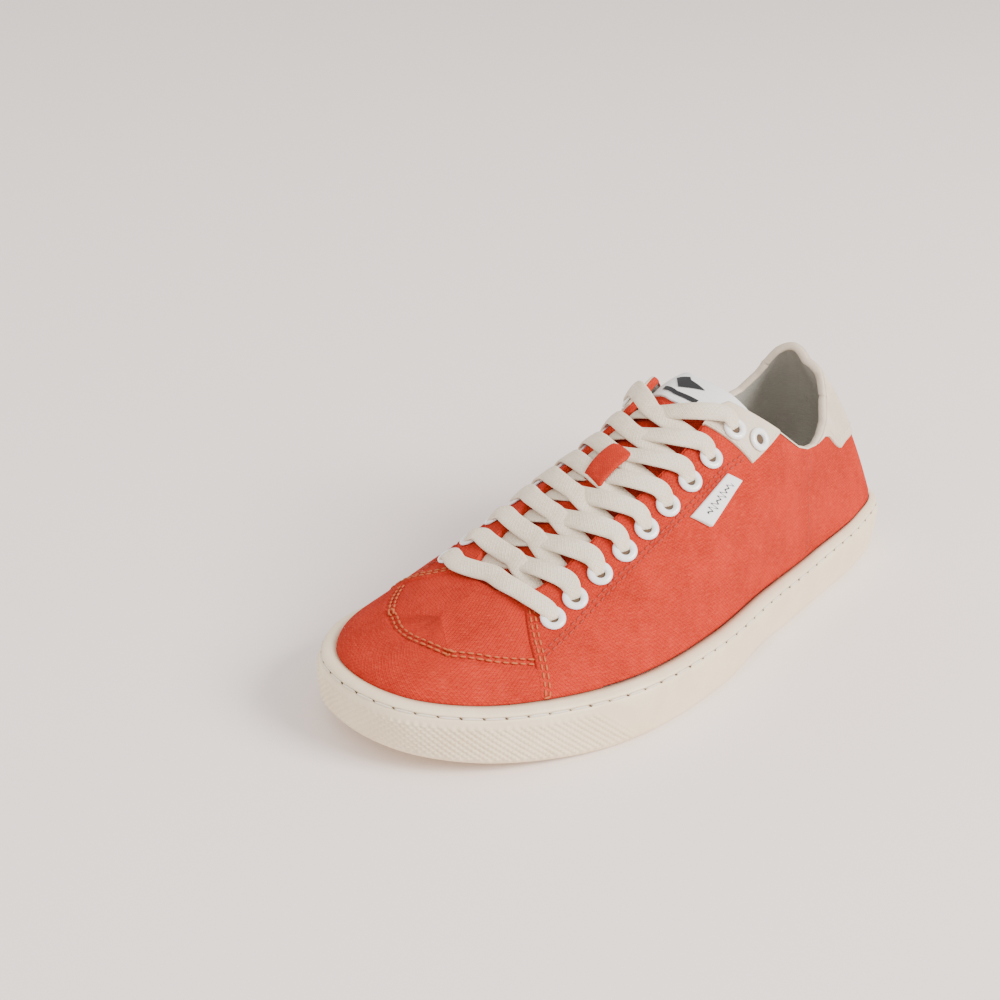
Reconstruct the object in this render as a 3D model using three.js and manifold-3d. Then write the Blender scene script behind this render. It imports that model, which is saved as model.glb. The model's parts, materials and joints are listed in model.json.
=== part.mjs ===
// A low canvas sneaker for the left foot. Millimetres, +Z up, toe towards +X, outer side towards +Y.
// The last is one function of two numbers: t runs round the foot from the heel (0) past the outer side
// to the toe (0.5) and back, s climbs from the edge of the sole (0) to the ridge of the last (1).
import * as THREE from "three";
import { mergeVertices } from "three/addons/utils/BufferGeometryUtils.js";
import Module from "manifold-3d";

const wasm = await Module();
wasm.setup();

const LENGTH = 290; // outsole, heel to toe
const OUTLINE_SHIFT = 3.9; // from the midline of the last to the middle of the outline's width
const WALL = 2; // upper
const GAP = 0.3; // between pieces that touch
const INSOLE_THICK = 4;
const TONGUE_THICK = 2.4;
const HOLE_R = 2.9; // for the eyelet barrels
const LACE_WIDTH = 6;
const LACE_THICK = 1.5;
const RIBS = 64; // round the foot
const CLIMB = [0.11, 0.23, 0.36, 0.49, 0.62, 0.75, 0.88]; // steps up the last

// Plan outline of the sole at its widest, from the heel along the outer side and back: x, y.
const OUTLINE = [
  [0, 1.5], [9, 27.5], [32, 37], [75, 44], [115, 50], [160, 58.5], [203, 59], [238, 50], [268, 34.5],
  [285, 15.5], [290, -7], [284, -29.5], [262, -47.5], [225, -52], [190, -50], [150, -43], [110, -38],
  [70, -37.5], [32, -36.5], [9, -25],
];
// Heights along the sole.
const SOLE = {
  x: [0, 12, 60, 95, 112, 140, 155, 215, 250, 290],
  edge: [24.2, 23.6, 22, 21.6, 21.9, 22.8, 23.3, 24, 25.6, 29.5],
  floor: [13, 12.5, 11.5, 11, 11, 11.2, 11.4, 12, 14, 19],
};
const TOE_SPRING = 9.6;
const ARCH_LIFT = 1.3;
// How far the canvas starts inside the widest outline.
const FEATHER = { x: [0, 60, 150, 230, 290], inset: [4.5, 6, 7, 7, 7] };
// Shape of a rib by the x of its foot: lean outwards and height of its lower handle, reach of its
// upper handle as a share of the span, and how far that handle hangs under the ridge.
const RIB_X = [5, 30, 64, 104, 138, 180, 223, 255, 285];
const OUTER_RIB = {
  lean: [-10.6, -14.4, -7.4, -1.5, -2.6, -3.4, -2.5, -1.4, -0.5],
  rise: [35.2, 34.9, 32.4, 29.4, 29.7, 18.6, 10.3, 6.5, 7.8],
  reach: [0.27, 0.34, 0.6, 0.99, 0.82, 0.61, 0.5, 0.5, 0.5],
  hang: [0, -0.1, -0.1, -0.4, -0.6, 0.2, -0.1, 0, 0],
};
const INNER_RIB = {
  lean: [4, -2.8, 4.8, 12, 1.6, -2.1, -1.1, -0.5, -0.6],
  rise: [35.2, 37.8, 35.3, 34.2, 29.3, 20.7, 15.6, 7.6, 5.3],
  reach: [0.48, 0.63, 0.86, 1, 0.67, 0.59, 0.58, 0.51, 0.5],
  hang: [0.1, 0, 0, -0.1, 1.3, 1.7, 0.9, 0.2, 0.1],
};
const RIDGE = {
  x: [45, 80, 110, 138, 180, 223, 250],
  z: [95.8, 101.6, 99.9, 89.5, 71.5, 50.2, 42.6],
  y: [-8.4, -4.4, -5.6, -4.4, -3.3, -2, -2.9],
};
const RIDGE_FROM = 48;
const RIDGE_TO = 250;
const FEET_FROM = 28;
const FEET_TO = 272;

// Side profile of the topline, heel to the end of the facing: x, z.
const TOPLINE = [
  [-30, 91], [22, 90], [30.5, 88.3], [33.2, 84], [34.8, 79], [38, 72.5], [45, 66], [54, 63.4], [63, 62.8],
  [73, 65], [83, 69.5], [91, 75], [99, 81], [108, 88], [117, 95], [124, 104], [128, 140],
];
// Plan of the throat between the facings: x, half opening on the outer side, on the inner side.
const THROAT = [
  [106, 23, 26], [113, 18, 22.5], [121, 15.5, 20], [130, 16.5, 18.5], [140, 18.5, 18],
  [160, 19, 17.5], [184, 18, 17], [208, 16.8, 16], [220, 14.5, 14.5], [226, 10.5, 11.5],
];
// Eyelets: x and y on the outer side, x and y on the inner side. The last one carries no lace.
const EYELETS = [
  [222.9, 26.6, 221.8, -27], [212, 27.1, 210.8, -26.6], [199.4, 27.4, 198.2, -26.2],
  [187, 28, 185.8, -25.8], [175.2, 28, 174, -25.4], [163.2, 27.8, 162.2, -25],
  [150.4, 27.4, 149.6, -24.6], [137.4, 26.5, 137, -24.2], [122, 24.8, 122.4, -24.2],
  [114, 30.5, 113.5, -29],
];

// Cubic through a table, with the slopes of its neighbours.
function tab(xs, ys, x) {
  const n = xs.length;
  const v = Math.min(Math.max(x, xs[0]), xs[n - 1]);
  let i = 0;
  while (i < n - 2 && v >= xs[i + 1]) i++;
  const d = (k) => (ys[k + 1] - ys[k]) / (xs[k + 1] - xs[k]);
  const m = (k) => {
    if (k === 0) return d(0);
    if (k === n - 1) return d(n - 2);
    const a = xs[k] - xs[k - 1];
    const b = xs[k + 1] - xs[k];
    return (d(k) * a + d(k - 1) * b) / (a + b);
  };
  const h = xs[i + 1] - xs[i];
  const f = (v - xs[i]) / h;
  const [a, b, ma, mb] = [ys[i], ys[i + 1], m(i) * h, m(i + 1) * h];
  return a + f * ma + f * f * (3 * (b - a) - 2 * ma - mb) + f ** 3 * (2 * (a - b) + ma + mb);
}

// The outline as a closed centripetal spline.
function outline(t) {
  const n = OUTLINE.length;
  const u = (((t % 1) + 1) % 1) * n;
  const i = Math.floor(u);
  const f = u - i;
  const p = [-1, 0, 1, 2].map((k) => new THREE.Vector2(...OUTLINE[(i + k + n) % n]));
  const d = [0, 1, 2].map((k) => Math.sqrt(p[k].distanceTo(p[k + 1])));
  const at = (c) => {
    const [a, b, e, g] = p.map((q) => q[c]);
    const m1 = e - b + d[1] * ((b - a) / d[0] - (e - a) / (d[0] + d[1]));
    const m2 = e - b + d[1] * ((g - e) / d[2] - (g - b) / (d[1] + d[2]));
    return b + f * m1 + f * f * (3 * (e - b) - 2 * m1 - m2) + f ** 3 * (2 * (b - e) + m1 + m2);
  };
  return new THREE.Vector2(at("x"), at("y"));
}

// A point of the outline moved inwards, and the outward direction there.
function plan(t, inset) {
  const p = outline(t);
  const d = outline(t + 1e-4).sub(outline(t - 1e-4)).normalize();
  const n = new THREE.Vector2(-d.y, d.x);
  return { x: p.x - n.x * inset, y: p.y - n.y * inset, n, x0: p.x };
}

const insetAt = (t) => tab(FEATHER.x, FEATHER.inset, outline(t).x);

function last(t, s) {
  const foot = plan(t, insetAt(t));
  const f = new THREE.Vector3(foot.x, foot.y, tab(SOLE.x, SOLE.edge, foot.x));
  const q = (0.5 * (foot.x0 + outline(1 - t).x) - FEET_FROM) / (FEET_TO - FEET_FROM);
  const x = RIDGE_FROM + (RIDGE_TO - RIDGE_FROM) * Math.min(Math.max(q, 0), 1);
  const r = new THREE.Vector3(x, tab(RIDGE.x, RIDGE.y, x), tab(RIDGE.x, RIDGE.z, x));
  const w = Math.min(Math.max(0.5 + (f.y + 5) / 28, 0), 1);
  const side = w * w * (3 - 2 * w);
  const mix = (k) => side * tab(RIB_X, OUTER_RIB[k], f.x) + (1 - side) * tab(RIB_X, INNER_RIB[k], f.x);
  const [lean, rise, reach, hang] = ["lean", "rise", "reach", "hang"].map(mix);
  const low = new THREE.Vector3(f.x + foot.n.x * lean, f.y + foot.n.y * lean, f.z + rise);
  const span = new THREE.Vector2(f.x - r.x, f.y - r.y).multiplyScalar(reach);
  const high = new THREE.Vector3(r.x + span.x, r.y + span.y, r.z + ridgeSlope(x) * span.x - hang);
  return new THREE.CubicBezierCurve3(f, low, high, r).getPoint(s);
}

// Height of the tread: flat under the heel and the ball, lifted at the arch, sprung at the toe.
function tread(x) {
  if (x < 12) return 1.2 * ((12 - x) / 12) ** 2;
  if (x > 98 && x < 152) return ARCH_LIFT * Math.sin((Math.PI * (x - 98)) / 54) ** 2;
  return x > 212 ? TOE_SPRING * ((x - 212) / (LENGTH - 212)) ** 1.7 : 0;
}

function ridgeSlope(x) {
  if (x <= RIDGE_FROM + 1e-6) return 0;
  if (x >= RIDGE_TO - 1e-6) return tab(RIDGE.x, RIDGE.z, RIDGE_TO) - tab(RIDGE.x, RIDGE.z, RIDGE_TO - 1);
  return tab(RIDGE.x, RIDGE.z, x + 0.5) - tab(RIDGE.x, RIDGE.z, x - 0.5);
}

function normal(t, s) {
  if (s > 0.985) {
    const a = normal(t, 0.97);
    return a.add(normal(1 - t, 0.97)).normalize();
  }
  const u = last(t + 1e-3, s).sub(last(t - 1e-3, s));
  const v = last(t, Math.min(s + 2e-3, 1)).sub(last(t, Math.max(s - 2e-3, 0)));
  return v.cross(u).normalize();
}

// A point off the last by height, measured along its normal.
const off = (t, s, height) => last(t, s).addScaledVector(normal(t, s), height);

// The last by rib and share of the way from the ridge (0) to the outer (1) or the inner edge (-1).
const across = (w, c, height) => off(c >= 0 ? w : 1 - w, 1 - Math.abs(c), height);

// The place on the last over a plan point, as rib and share.
function locate(x, y) {
  let best = [0, 0, Infinity];
  const error = (w, c) => {
    const p = last(c >= 0 ? w : 1 - w, 1 - Math.abs(c));
    return [p.x - x, p.y - y];
  };
  const sign = y > -4 ? 1 : -1;
  for (let w = 0.1; w < 0.46; w += 0.01)
    for (let c = 0.05; c < 0.95; c += 0.05) {
      const e = Math.hypot(...error(w, c * sign));
      if (e < best[2]) best = [w, c * sign, e];
    }
  let [w, c] = best;
  for (let k = 0; k < 12; k++) {
    const e = error(w, c);
    const a = error(w + 1e-4, c);
    const b = error(w, c + 1e-4);
    const m = [(a[0] - e[0]) / 1e-4, (b[0] - e[0]) / 1e-4, (a[1] - e[1]) / 1e-4, (b[1] - e[1]) / 1e-4];
    const det = m[0] * m[3] - m[1] * m[2];
    w -= (m[3] * e[0] - m[1] * e[1]) / det;
    c -= (m[0] * e[1] - m[2] * e[0]) / det;
  }
  return [w, c];
}

// ---- solids ----

function solid(geometry) {
  const g = geometry.index ? geometry.toNonIndexed() : geometry.clone();
  g.deleteAttribute("normal");
  g.deleteAttribute("uv");
  const merged = mergeVertices(g, 1e-3);
  const tris = [];
  const index = merged.index.array;
  for (let i = 0; i < index.length; i += 3) {
    const [a, b, c] = [index[i], index[i + 1], index[i + 2]];
    if (a !== b && b !== c && a !== c) tris.push(a, b, c);
  }
  const make = (triVerts) =>
    new wasm.Manifold(
      new wasm.Mesh({
        numProp: 3,
        vertProperties: new Float32Array(merged.attributes.position.array),
        triVerts: new Uint32Array(triVerts),
      }),
    );
  const body = make(tris);
  return body.volume() < 0 ? make(tris.reverse()) : body;
}

// A geometry from rows of points, row by row; closed says whether a row is a ring.
function rows(list, closed, caps) {
  const n = list[0].length;
  const tris = [];
  const face = (a, b, c) => tris.push(a, b, c);
  const quad = (a, b, c, d) => {
    face(a, b, c);
    face(a, c, d);
  };
  const across2 = (row, flip) => {
    for (let i = 0; i < n / 2; i++) {
      const [a, b, c, d] = [row[i], row[i + 1], row[(n - i - 1) % n], row[(n - i) % n]];
      flip ? quad(a, b, c, d) : quad(d, c, b, a);
    }
  };
  for (let j = 0; j + 1 < list.length; j++)
    for (let i = 0; i < (closed ? n : n - 1); i++) {
      const k = (i + 1) % n;
      quad(list[j][i], list[j][k], list[j + 1][k], list[j + 1][i]);
    }
  if (caps) {
    across2(list[0], false);
    across2(list[list.length - 1], true);
  }
  const g = new THREE.BufferGeometry();
  g.setAttribute("position", new THREE.Float32BufferAttribute(tris.flatMap((p) => [p.x, p.y, p.z]), 3));
  return g;
}

const ring = (make) => Array.from({ length: RIBS }, (_, i) => make(i / RIBS));

// The last as a closed solid, swollen by height, its foot going down to depth under the sole's edge.
function lastSolid(height, depth) {
  const foot = ring((t) => {
    const p = plan(t, insetAt(t) - height);
    return new THREE.Vector3(p.x, p.y, tab(SOLE.x, SOLE.floor, p.x) - depth);
  });
  const edge = ring((t) => {
    const p = plan(t, insetAt(t) - height);
    return new THREE.Vector3(p.x, p.y, tab(SOLE.x, SOLE.edge, p.x));
  });
  const climb = CLIMB.map((s) => ring((t) => off(t, s, height)));
  const top = ring((t) => off(Math.min(t, 1 - t), 1, height));
  return solid(rows([foot, edge, ...climb, top], true, true));
}

// A closed sheet from a grid of points on each of its two faces.
function sheet(count, steps, point) {
  const face = (side) =>
    Array.from({ length: steps + 1 }, (_, j) =>
      Array.from({ length: count + 1 }, (_, i) => point(i / count, j / steps, side)),
    );
  const [a, b] = [face(0), face(1)];
  const loops = a.map((row, j) => [...row, ...b[j].slice().reverse()]);
  const g = rows(loops, true, false);
  const end = (row, up) => {
    const list = [];
    for (let i = 0; i < count; i++) {
      const q = [row[i], row[i + 1], row[2 * count - i], row[2 * count + 1 - i]];
      list.push(...(up ? [q[0], q[1], q[2], q[0], q[2], q[3]] : [q[0], q[2], q[1], q[0], q[3], q[2]]));
    }
    return list;
  };
  const ends = [...end(loops[0], true), ...end(loops[steps], false)].reverse();
  const more = ends.flatMap((p) => [p.x, p.y, p.z]);
  const all = Float32Array.from([...g.attributes.position.array, ...more]);
  g.setAttribute("position", new THREE.BufferAttribute(all, 3));
  return solid(g);
}

const smooth = (points, step) =>
  new THREE.SplineCurve(points.map((p) => new THREE.Vector2(...p))).getPoints(points.length * step);

// A prism from a side profile in x and z, through the whole width.
function sideways(points) {
  const g = new THREE.ExtrudeGeometry(new THREE.Shape(points), { depth: 160, bevelEnabled: false });
  return solid(g.rotateX(Math.PI / 2).translate(0, 80, 0));
}

// A prism from a plan shape.
const upright = (points, from, to) =>
  solid(
    new THREE.ExtrudeGeometry(new THREE.Shape(points), { depth: to - from, bevelEnabled: false }).translate(0, 0, from),
  );

// The turn that stands +Z on the last's normal with +X along the foot, at a place on it.
function standing(w, c, height) {
  const t = c >= 0 ? w : 1 - w;
  const s = 1 - Math.abs(c);
  const z = normal(t, s);
  const y = z.clone().cross(new THREE.Vector3(1, 0, 0)).normalize();
  const x = y.clone().cross(z);
  return new THREE.Matrix4().makeBasis(x, y, z).setPosition(last(t, s).addScaledVector(z, height));
}

// A prism standing on the last over a polygon of places given as rib and share.
function stamp(places, reach) {
  const mid = places.reduce((m, p) => [m[0] + p[0] / places.length, m[1] + p[1] / places.length], [0, 0]);
  const turn = standing(mid[0], mid[1], 0);
  const back = turn.clone().invert();
  const flat = places.map((p) => across(p[0], p[1], 0).applyMatrix4(back));
  const shape = new THREE.Shape(flat.map((p) => new THREE.Vector2(p.x, p.y)));
  const g = new THREE.ExtrudeGeometry(shape, { depth: 2 * reach, bevelEnabled: false });
  return solid(g.translate(0, 0, -reach).applyMatrix4(turn));
}

// ---- cutters shared by the pieces of the upper ----

const topProfile = smooth(TOPLINE.slice(1, -2), 3);
const collarCut = sideways([
  new THREE.Vector2(-30, 150), new THREE.Vector2(-30, 91), ...topProfile, new THREE.Vector2(124, 104),
  new THREE.Vector2(128, 150),
]);
const throatSide = (column, sign) => smooth(THROAT.map((r) => [r[0], sign * r[column]]), 2);
const throatCut = upright(
  [
    ...throatSide(1, 1), new THREE.Vector2(228, 5.5), new THREE.Vector2(228.8, -1),
    new THREE.Vector2(228, -7.5), ...throatSide(2, -1).reverse(),
  ],
  34,
  150,
);
const barrel = new THREE.CylinderGeometry(HOLE_R, HOLE_R, 12, 12).rotateX(Math.PI / 2);
const eyeletPlaces = [];
EYELETS.forEach((row, i) => {
  eyeletPlaces.push([`eyelet_outer_${i + 1}`, ...locate(row[0], row[1]), i]);
  eyeletPlaces.push([`eyelet_inner_${i + 1}`, ...locate(row[2], row[3]), i]);
});
const holes = wasm.Manifold.union(
  eyeletPlaces.map(([, w, c]) => solid(barrel.clone().applyMatrix4(standing(w, c, 0)))),
);

// ---- the pieces ----

// Outsole: a cup whose rings go up the outside, over the lip and down to the floor.
const level = (share, drop) => (x) => {
  const [a, b] = [tread(x), tab(SOLE.x, SOLE.edge, x)];
  return a + (b - a) * share - drop;
};
const cupRings = [
  [() => 4.2, level(0, 0)], [() => 1.6, level(0, -1.8)], [() => 0.4, level(0.25, 0)],
  [() => 0, level(0.55, 0)], [() => 0.5, level(1, 4.5)], [() => 1.2, level(1, 1.3)],
  [() => 2.6, level(1, 0)], [(t) => insetAt(t) - GAP, level(1, 0)],
  [(t) => insetAt(t) - GAP, (x) => tab(SOLE.x, SOLE.floor, x)],
].map(([inset, z]) =>
  ring((t) => {
    const p = plan(t, inset(t));
    return new THREE.Vector3(p.x, p.y, z(p.x));
  }),
);
const groove = (x) => new THREE.BoxGeometry(2.6, 160, 3.2).translate(x, 0, 0);
const GROOVES = [20, 31, 42, 53, 75, 86, 161, 172, 183, 205, 216, 227, 238];
const outsole = solid(rows(cupRings, true, true)).subtract(
  wasm.Manifold.union(GROOVES.map((x) => solid(groove(x)))),
);

const shell = lastSolid(0, -GAP).subtract(lastSolid(-WALL, 6));
const upper = shell.subtract(collarCut).subtract(throatCut).subtract(holes);

// Insole, inside the wall of the upper, with a soft edge.
const insoleRing = (inset, up) =>
  ring((t) => {
    const p = plan(t, insetAt(t) + WALL + inset);
    return new THREE.Vector3(p.x, p.y, tab(SOLE.x, SOLE.floor, p.x) + up);
  });
const insole = solid(
  rows(
    [insoleRing(0.5, GAP), insoleRing(0.5, INSOLE_THICK - 0.8), insoleRing(1.6, INSOLE_THICK + GAP)],
    true,
    true,
  ),
);

// Tongue, under the facings from the vamp to past the topline.
const TONGUE_W = [0.174, 0.398];
const tongueHalf = (v) => tab([0, 0.25, 0.6, 1], [0.7, 0.7, 0.7, 0.6], v);
// Depth under the last: its free end sinks in the middle, between the facings.
const tongueDrop = (v, c) =>
  WALL + GAP + 0.4 + tab([0, 0.12, 0.3, 0.7, 1], [3.4, 2.2, 1.2, 0.6, 0.2], v) * Math.max(1 - (c / 0.7) ** 2, 0);
const tonguePlace = (u, v) => {
  const w = TONGUE_W[0] + (TONGUE_W[1] - TONGUE_W[0]) * v;
  return [w + 0.009 * (1 - (2 * u - 1) ** 2) * (1 - v) ** 3, (2 * u - 1) * tongueHalf(v)];
};
const tongue = sheet(10, 13, (u, v, side) => {
  const [w, c] = tonguePlace(u, v);
  return across(w, c, -tongueDrop(v, c) - (side ? TONGUE_THICK : 0));
});
const tongueLabel = sheet(8, 4, (u, v, side) => {
  const [w, c] = tonguePlace(0.17 + 0.62 * u, 0.012 + 0.13 * v);
  return across(w, c, GAP + 0.15 - tongueDrop(0.012 + 0.13 * v, c) + (side ? 0 : 0.7));
});

// Heel tab: a skin over the top of the heel with a notch at the back.
const skin = (from, to) => lastSolid(to, -6).subtract(lastSolid(from, 8));
const tabProfile = [
  [-20, 53], [20, 53], [30, 52.2], [36, 51.2], [40, 53.6], [46, 59.6], [52, 61.8], [60, 62.6], [60, 90], [-20, 100],
].map((p) => new THREE.Vector2(...p));
const notch = new THREE.Shape(
  [[-16, 50], [-10, 56], [-6.6, 66], [-5.4, 71], [-4.2, 71], [-3, 66], [0.5, 56], [6, 50]].map(
    (p) => new THREE.Vector2(...p),
  ),
);
const notchCut = solid(
  new THREE.ExtrudeGeometry(notch, { depth: 70, bevelEnabled: false })
    .rotateX(Math.PI / 2)
    .rotateZ(Math.PI / 2)
    .translate(-40, 0, 0),
);
const heelTab = skin(GAP, GAP + 1.2).intersect(sideways(tabProfile)).subtract(collarCut).subtract(notchCut);

// Patches over the last two eyelets of each facing.
const PATCH = [[99.5, 30.4], [108, 16], [131, 13], [120.9, 33.8]];
const PATCH_INNER = [[99.5, -31], [108, -20], [130, -16], [120, -32.6]];
const patchOf = (corners) =>
  skin(GAP, GAP + 1.1)
    .intersect(stamp(corners.map((p) => locate(...p)), 14))
    .subtract(collarCut)
    .subtract(throatCut)
    .subtract(holes);
const patchOuter = patchOf(PATCH);
const patchInner = patchOf(PATCH_INNER);

const TAG = [[134.6, 32.4], [130.2, 35.2], [152, 39.2], [158, 34.5]];
const sideTag = skin(GAP, GAP + 1.2).intersect(stamp(TAG.map((p) => locate(...p)), 14));

// Eyelets: a domed washer with a barrel through the upper.
const eyeletProfile = [
  [1.9, -WALL], [2.55, -WALL], [2.55, 0.75], [4.75, 0.6], [4.1, 1.55], [1.9, 1.3],
].map((p) => new THREE.Vector2(...p));
const eyeletGeometry = new THREE.LatheGeometry([...eyeletProfile, eyeletProfile[0]], 12).rotateX(Math.PI / 2);
const eyelets = eyeletPlaces.map(([name, w, c, i]) => [
  name,
  solid(eyeletGeometry.clone().applyMatrix4(standing(w, c, i > 7 ? GAP + 1.1 : 0))),
]);

// Laces: flat strands over the throat. Each path is rib, share and height at its stations.
function strand(stations) {
  const count = 9;
  const at = (k) => stations.map((p) => p[k]);
  const keys = stations.map((_, i) => i / (stations.length - 1));
  const centre = (v) => across(tab(keys, at(0), v), tab(keys, at(1), v), tab(keys, at(2), v));
  return sheet(1, count, (u, v, side) => {
    const c = tab(keys, at(1), v);
    const w = tab(keys, at(0), v);
    const n = normal(c >= 0 ? w : 1 - w, 1 - Math.abs(c));
    const along = centre(Math.min(v + 0.01, 1)).sub(centre(Math.max(v - 0.01, 0))).normalize();
    const wide = along.clone().cross(n).normalize();
    return centre(v)
      .addScaledVector(wide, (u - 0.5) * LACE_WIDTH)
      .addScaledVector(n, (side ? -0.5 : 0.5) * LACE_THICK);
  });
}
const places = eyeletPlaces.map(([, w, c]) => [w, c]);
const OVER = 3.1;
const laces = [];
{
  const [a, b] = [places[0], places[1]];
  const mid = 0.5 * (a[0] + b[0]);
  laces.push(["lace_1", strand([[a[0], a[1], OVER], [mid, 0.2, 2.2], [mid, -0.2, 2.2], [b[0], b[1], OVER + 0.2]])]);
}
for (let k = 1; k < 9; k++) {
  const lift = k === 8 ? 1.7 : k === 7 ? 0.4 : 0;
  const cross = (from, to, high) => {
    const [w0, w1] = [from[0] - 0.54 * (from[0] - to[0]), to[0]];
    return strand([
      [w0, from[1] * 0.36, -0.5], [w0 + (w1 - w0) * 0.42, from[1] * 0.05, high],
      [w0 + (w1 - w0) * 0.72, to[1] * 0.48, 1.7 + lift * 0.5], [w1, to[1], OVER + lift],
    ]);
  };
  const [a0, b0] = [places[2 * k - 2], places[2 * k - 1]];
  const [a1, b1] = [places[2 * k], places[2 * k + 1]];
  laces.push([`lace_${k + 1}`, cross(b0, a1, 0.7).add(cross(a0, b1, 1.6))]);
}

// Keeper: a strap along the tongue under the crossings.
const keeperV = (v) => (0.262 + 0.034 * v - TONGUE_W[0]) / (TONGUE_W[1] - TONGUE_W[0]);
const keeper = sheet(3, 4, (u, v, side) => {
  const c = 0.03 + 0.06 * (2 * u - 1);
  return across(0.262 + 0.034 * v, c, GAP + 0.15 - tongueDrop(keeperV(v), c) + (side ? 0 : 0.8));
});

// ---- the assembly ----

const CANVAS = [0xd2553f, 0.9];
const LEATHER = [0xdccdb9, 0.6];
const COTTON = [0xece4d8, 0.9];
const sneaker = new THREE.Group();
function piece(name, body, [color, roughness]) {
  const m = body.getMesh();
  const n = m.numProp;
  const flat = new Float32Array(m.numVert * 3);
  for (let i = 0; i < m.numVert; i++) flat.set(m.vertProperties.subarray(i * n, i * n + 3), i * 3);
  const g = new THREE.BufferGeometry();
  g.setAttribute("position", new THREE.BufferAttribute(flat, 3));
  g.setIndex(new THREE.BufferAttribute(m.triVerts, 1));
  g.translate(-LENGTH / 2, -OUTLINE_SHIFT, 0);
  g.computeVertexNormals();
  const mesh = new THREE.Mesh(g, new THREE.MeshStandardMaterial({ color, roughness, metalness: 0 }));
  mesh.name = name;
  sneaker.add(mesh);
}
piece("outsole", outsole, [0xe6dccb, 0.7]);
piece("upper", upper, CANVAS);
piece("insole", insole, [0xb9ae9c, 0.9]);
piece("tongue", tongue, CANVAS);
piece("tongue_label", tongueLabel, COTTON);
piece("heel_tab", heelTab, LEATHER);
piece("patch_outer", patchOuter, LEATHER);
piece("patch_inner", patchInner, LEATHER);
piece("side_tag", sideTag, COTTON);
piece("lace_keeper", keeper, CANVAS);
for (const [name, body] of eyelets) piece(name, body, [0xf4f2ee, 0.35]);
for (const [name, body] of laces) piece(name, body, COTTON);

export default sneaker;
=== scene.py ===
"""Low canvas sneaker for the left foot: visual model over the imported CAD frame.

Lengths inside the builders are millimetres in the last's own frame (x from the heel, y from the
midline towards the outer side, z from the floor); Skin.place moves them to metres in the row frame.
"""

import json
import logging
import math
from dataclasses import dataclass, field
from enum import Enum
from typing import Callable, Optional, Sequence

import bmesh
import bpy
import numpy as np
from mathutils import Matrix, Vector
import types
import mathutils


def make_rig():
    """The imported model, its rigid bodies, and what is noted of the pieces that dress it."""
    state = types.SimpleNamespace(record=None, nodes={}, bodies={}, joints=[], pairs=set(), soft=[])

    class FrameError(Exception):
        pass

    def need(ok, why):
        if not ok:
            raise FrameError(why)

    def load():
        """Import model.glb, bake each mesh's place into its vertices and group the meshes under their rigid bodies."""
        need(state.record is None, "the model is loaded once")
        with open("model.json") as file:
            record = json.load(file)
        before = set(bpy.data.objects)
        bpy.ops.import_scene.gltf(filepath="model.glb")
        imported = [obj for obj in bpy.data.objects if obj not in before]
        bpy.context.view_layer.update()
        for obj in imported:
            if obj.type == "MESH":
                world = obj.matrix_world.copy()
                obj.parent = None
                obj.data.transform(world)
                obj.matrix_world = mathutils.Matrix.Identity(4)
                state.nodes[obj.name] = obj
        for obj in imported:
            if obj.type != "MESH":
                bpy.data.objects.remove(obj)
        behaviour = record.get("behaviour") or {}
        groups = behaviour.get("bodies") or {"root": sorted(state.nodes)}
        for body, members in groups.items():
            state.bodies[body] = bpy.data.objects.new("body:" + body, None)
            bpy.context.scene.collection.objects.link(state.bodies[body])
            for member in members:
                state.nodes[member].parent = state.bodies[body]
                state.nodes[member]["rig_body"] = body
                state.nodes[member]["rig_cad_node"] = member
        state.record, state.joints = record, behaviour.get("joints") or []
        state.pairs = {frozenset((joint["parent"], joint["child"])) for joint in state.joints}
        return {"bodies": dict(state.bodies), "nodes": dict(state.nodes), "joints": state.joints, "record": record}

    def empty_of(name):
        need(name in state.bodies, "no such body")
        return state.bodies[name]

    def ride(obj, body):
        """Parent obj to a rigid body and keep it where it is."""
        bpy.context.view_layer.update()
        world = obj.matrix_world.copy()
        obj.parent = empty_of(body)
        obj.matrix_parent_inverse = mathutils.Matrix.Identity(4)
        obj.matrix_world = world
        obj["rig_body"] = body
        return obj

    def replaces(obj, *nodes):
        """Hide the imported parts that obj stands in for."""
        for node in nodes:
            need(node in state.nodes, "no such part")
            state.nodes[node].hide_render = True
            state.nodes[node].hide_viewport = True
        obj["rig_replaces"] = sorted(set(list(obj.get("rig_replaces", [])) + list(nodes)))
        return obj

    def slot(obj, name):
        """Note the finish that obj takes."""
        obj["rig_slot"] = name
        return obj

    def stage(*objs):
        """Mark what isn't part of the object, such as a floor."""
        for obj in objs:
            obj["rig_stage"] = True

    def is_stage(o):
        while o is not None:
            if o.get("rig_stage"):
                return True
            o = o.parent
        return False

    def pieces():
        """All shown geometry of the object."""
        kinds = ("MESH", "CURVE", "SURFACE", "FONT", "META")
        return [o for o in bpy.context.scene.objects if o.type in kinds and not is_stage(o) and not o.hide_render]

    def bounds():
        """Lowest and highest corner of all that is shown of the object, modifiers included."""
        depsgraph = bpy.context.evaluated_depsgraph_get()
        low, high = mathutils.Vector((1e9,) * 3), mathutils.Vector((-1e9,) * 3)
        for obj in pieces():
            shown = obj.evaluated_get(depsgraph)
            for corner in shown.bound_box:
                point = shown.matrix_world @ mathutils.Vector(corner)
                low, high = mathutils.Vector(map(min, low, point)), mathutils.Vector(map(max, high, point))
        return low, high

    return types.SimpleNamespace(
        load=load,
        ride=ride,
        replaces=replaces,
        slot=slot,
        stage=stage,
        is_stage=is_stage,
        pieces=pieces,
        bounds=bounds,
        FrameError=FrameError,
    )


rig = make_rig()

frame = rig.load()
START_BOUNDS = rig.bounds()
LOG = logging.getLogger("sneaker")
logging.basicConfig(level=logging.INFO, format="%(name)s: %(message)s")

Array = np.ndarray


class Side(Enum):
    """Side of the foot; the value is the sign of y."""

    OUTER = 1
    INNER = -1


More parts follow.
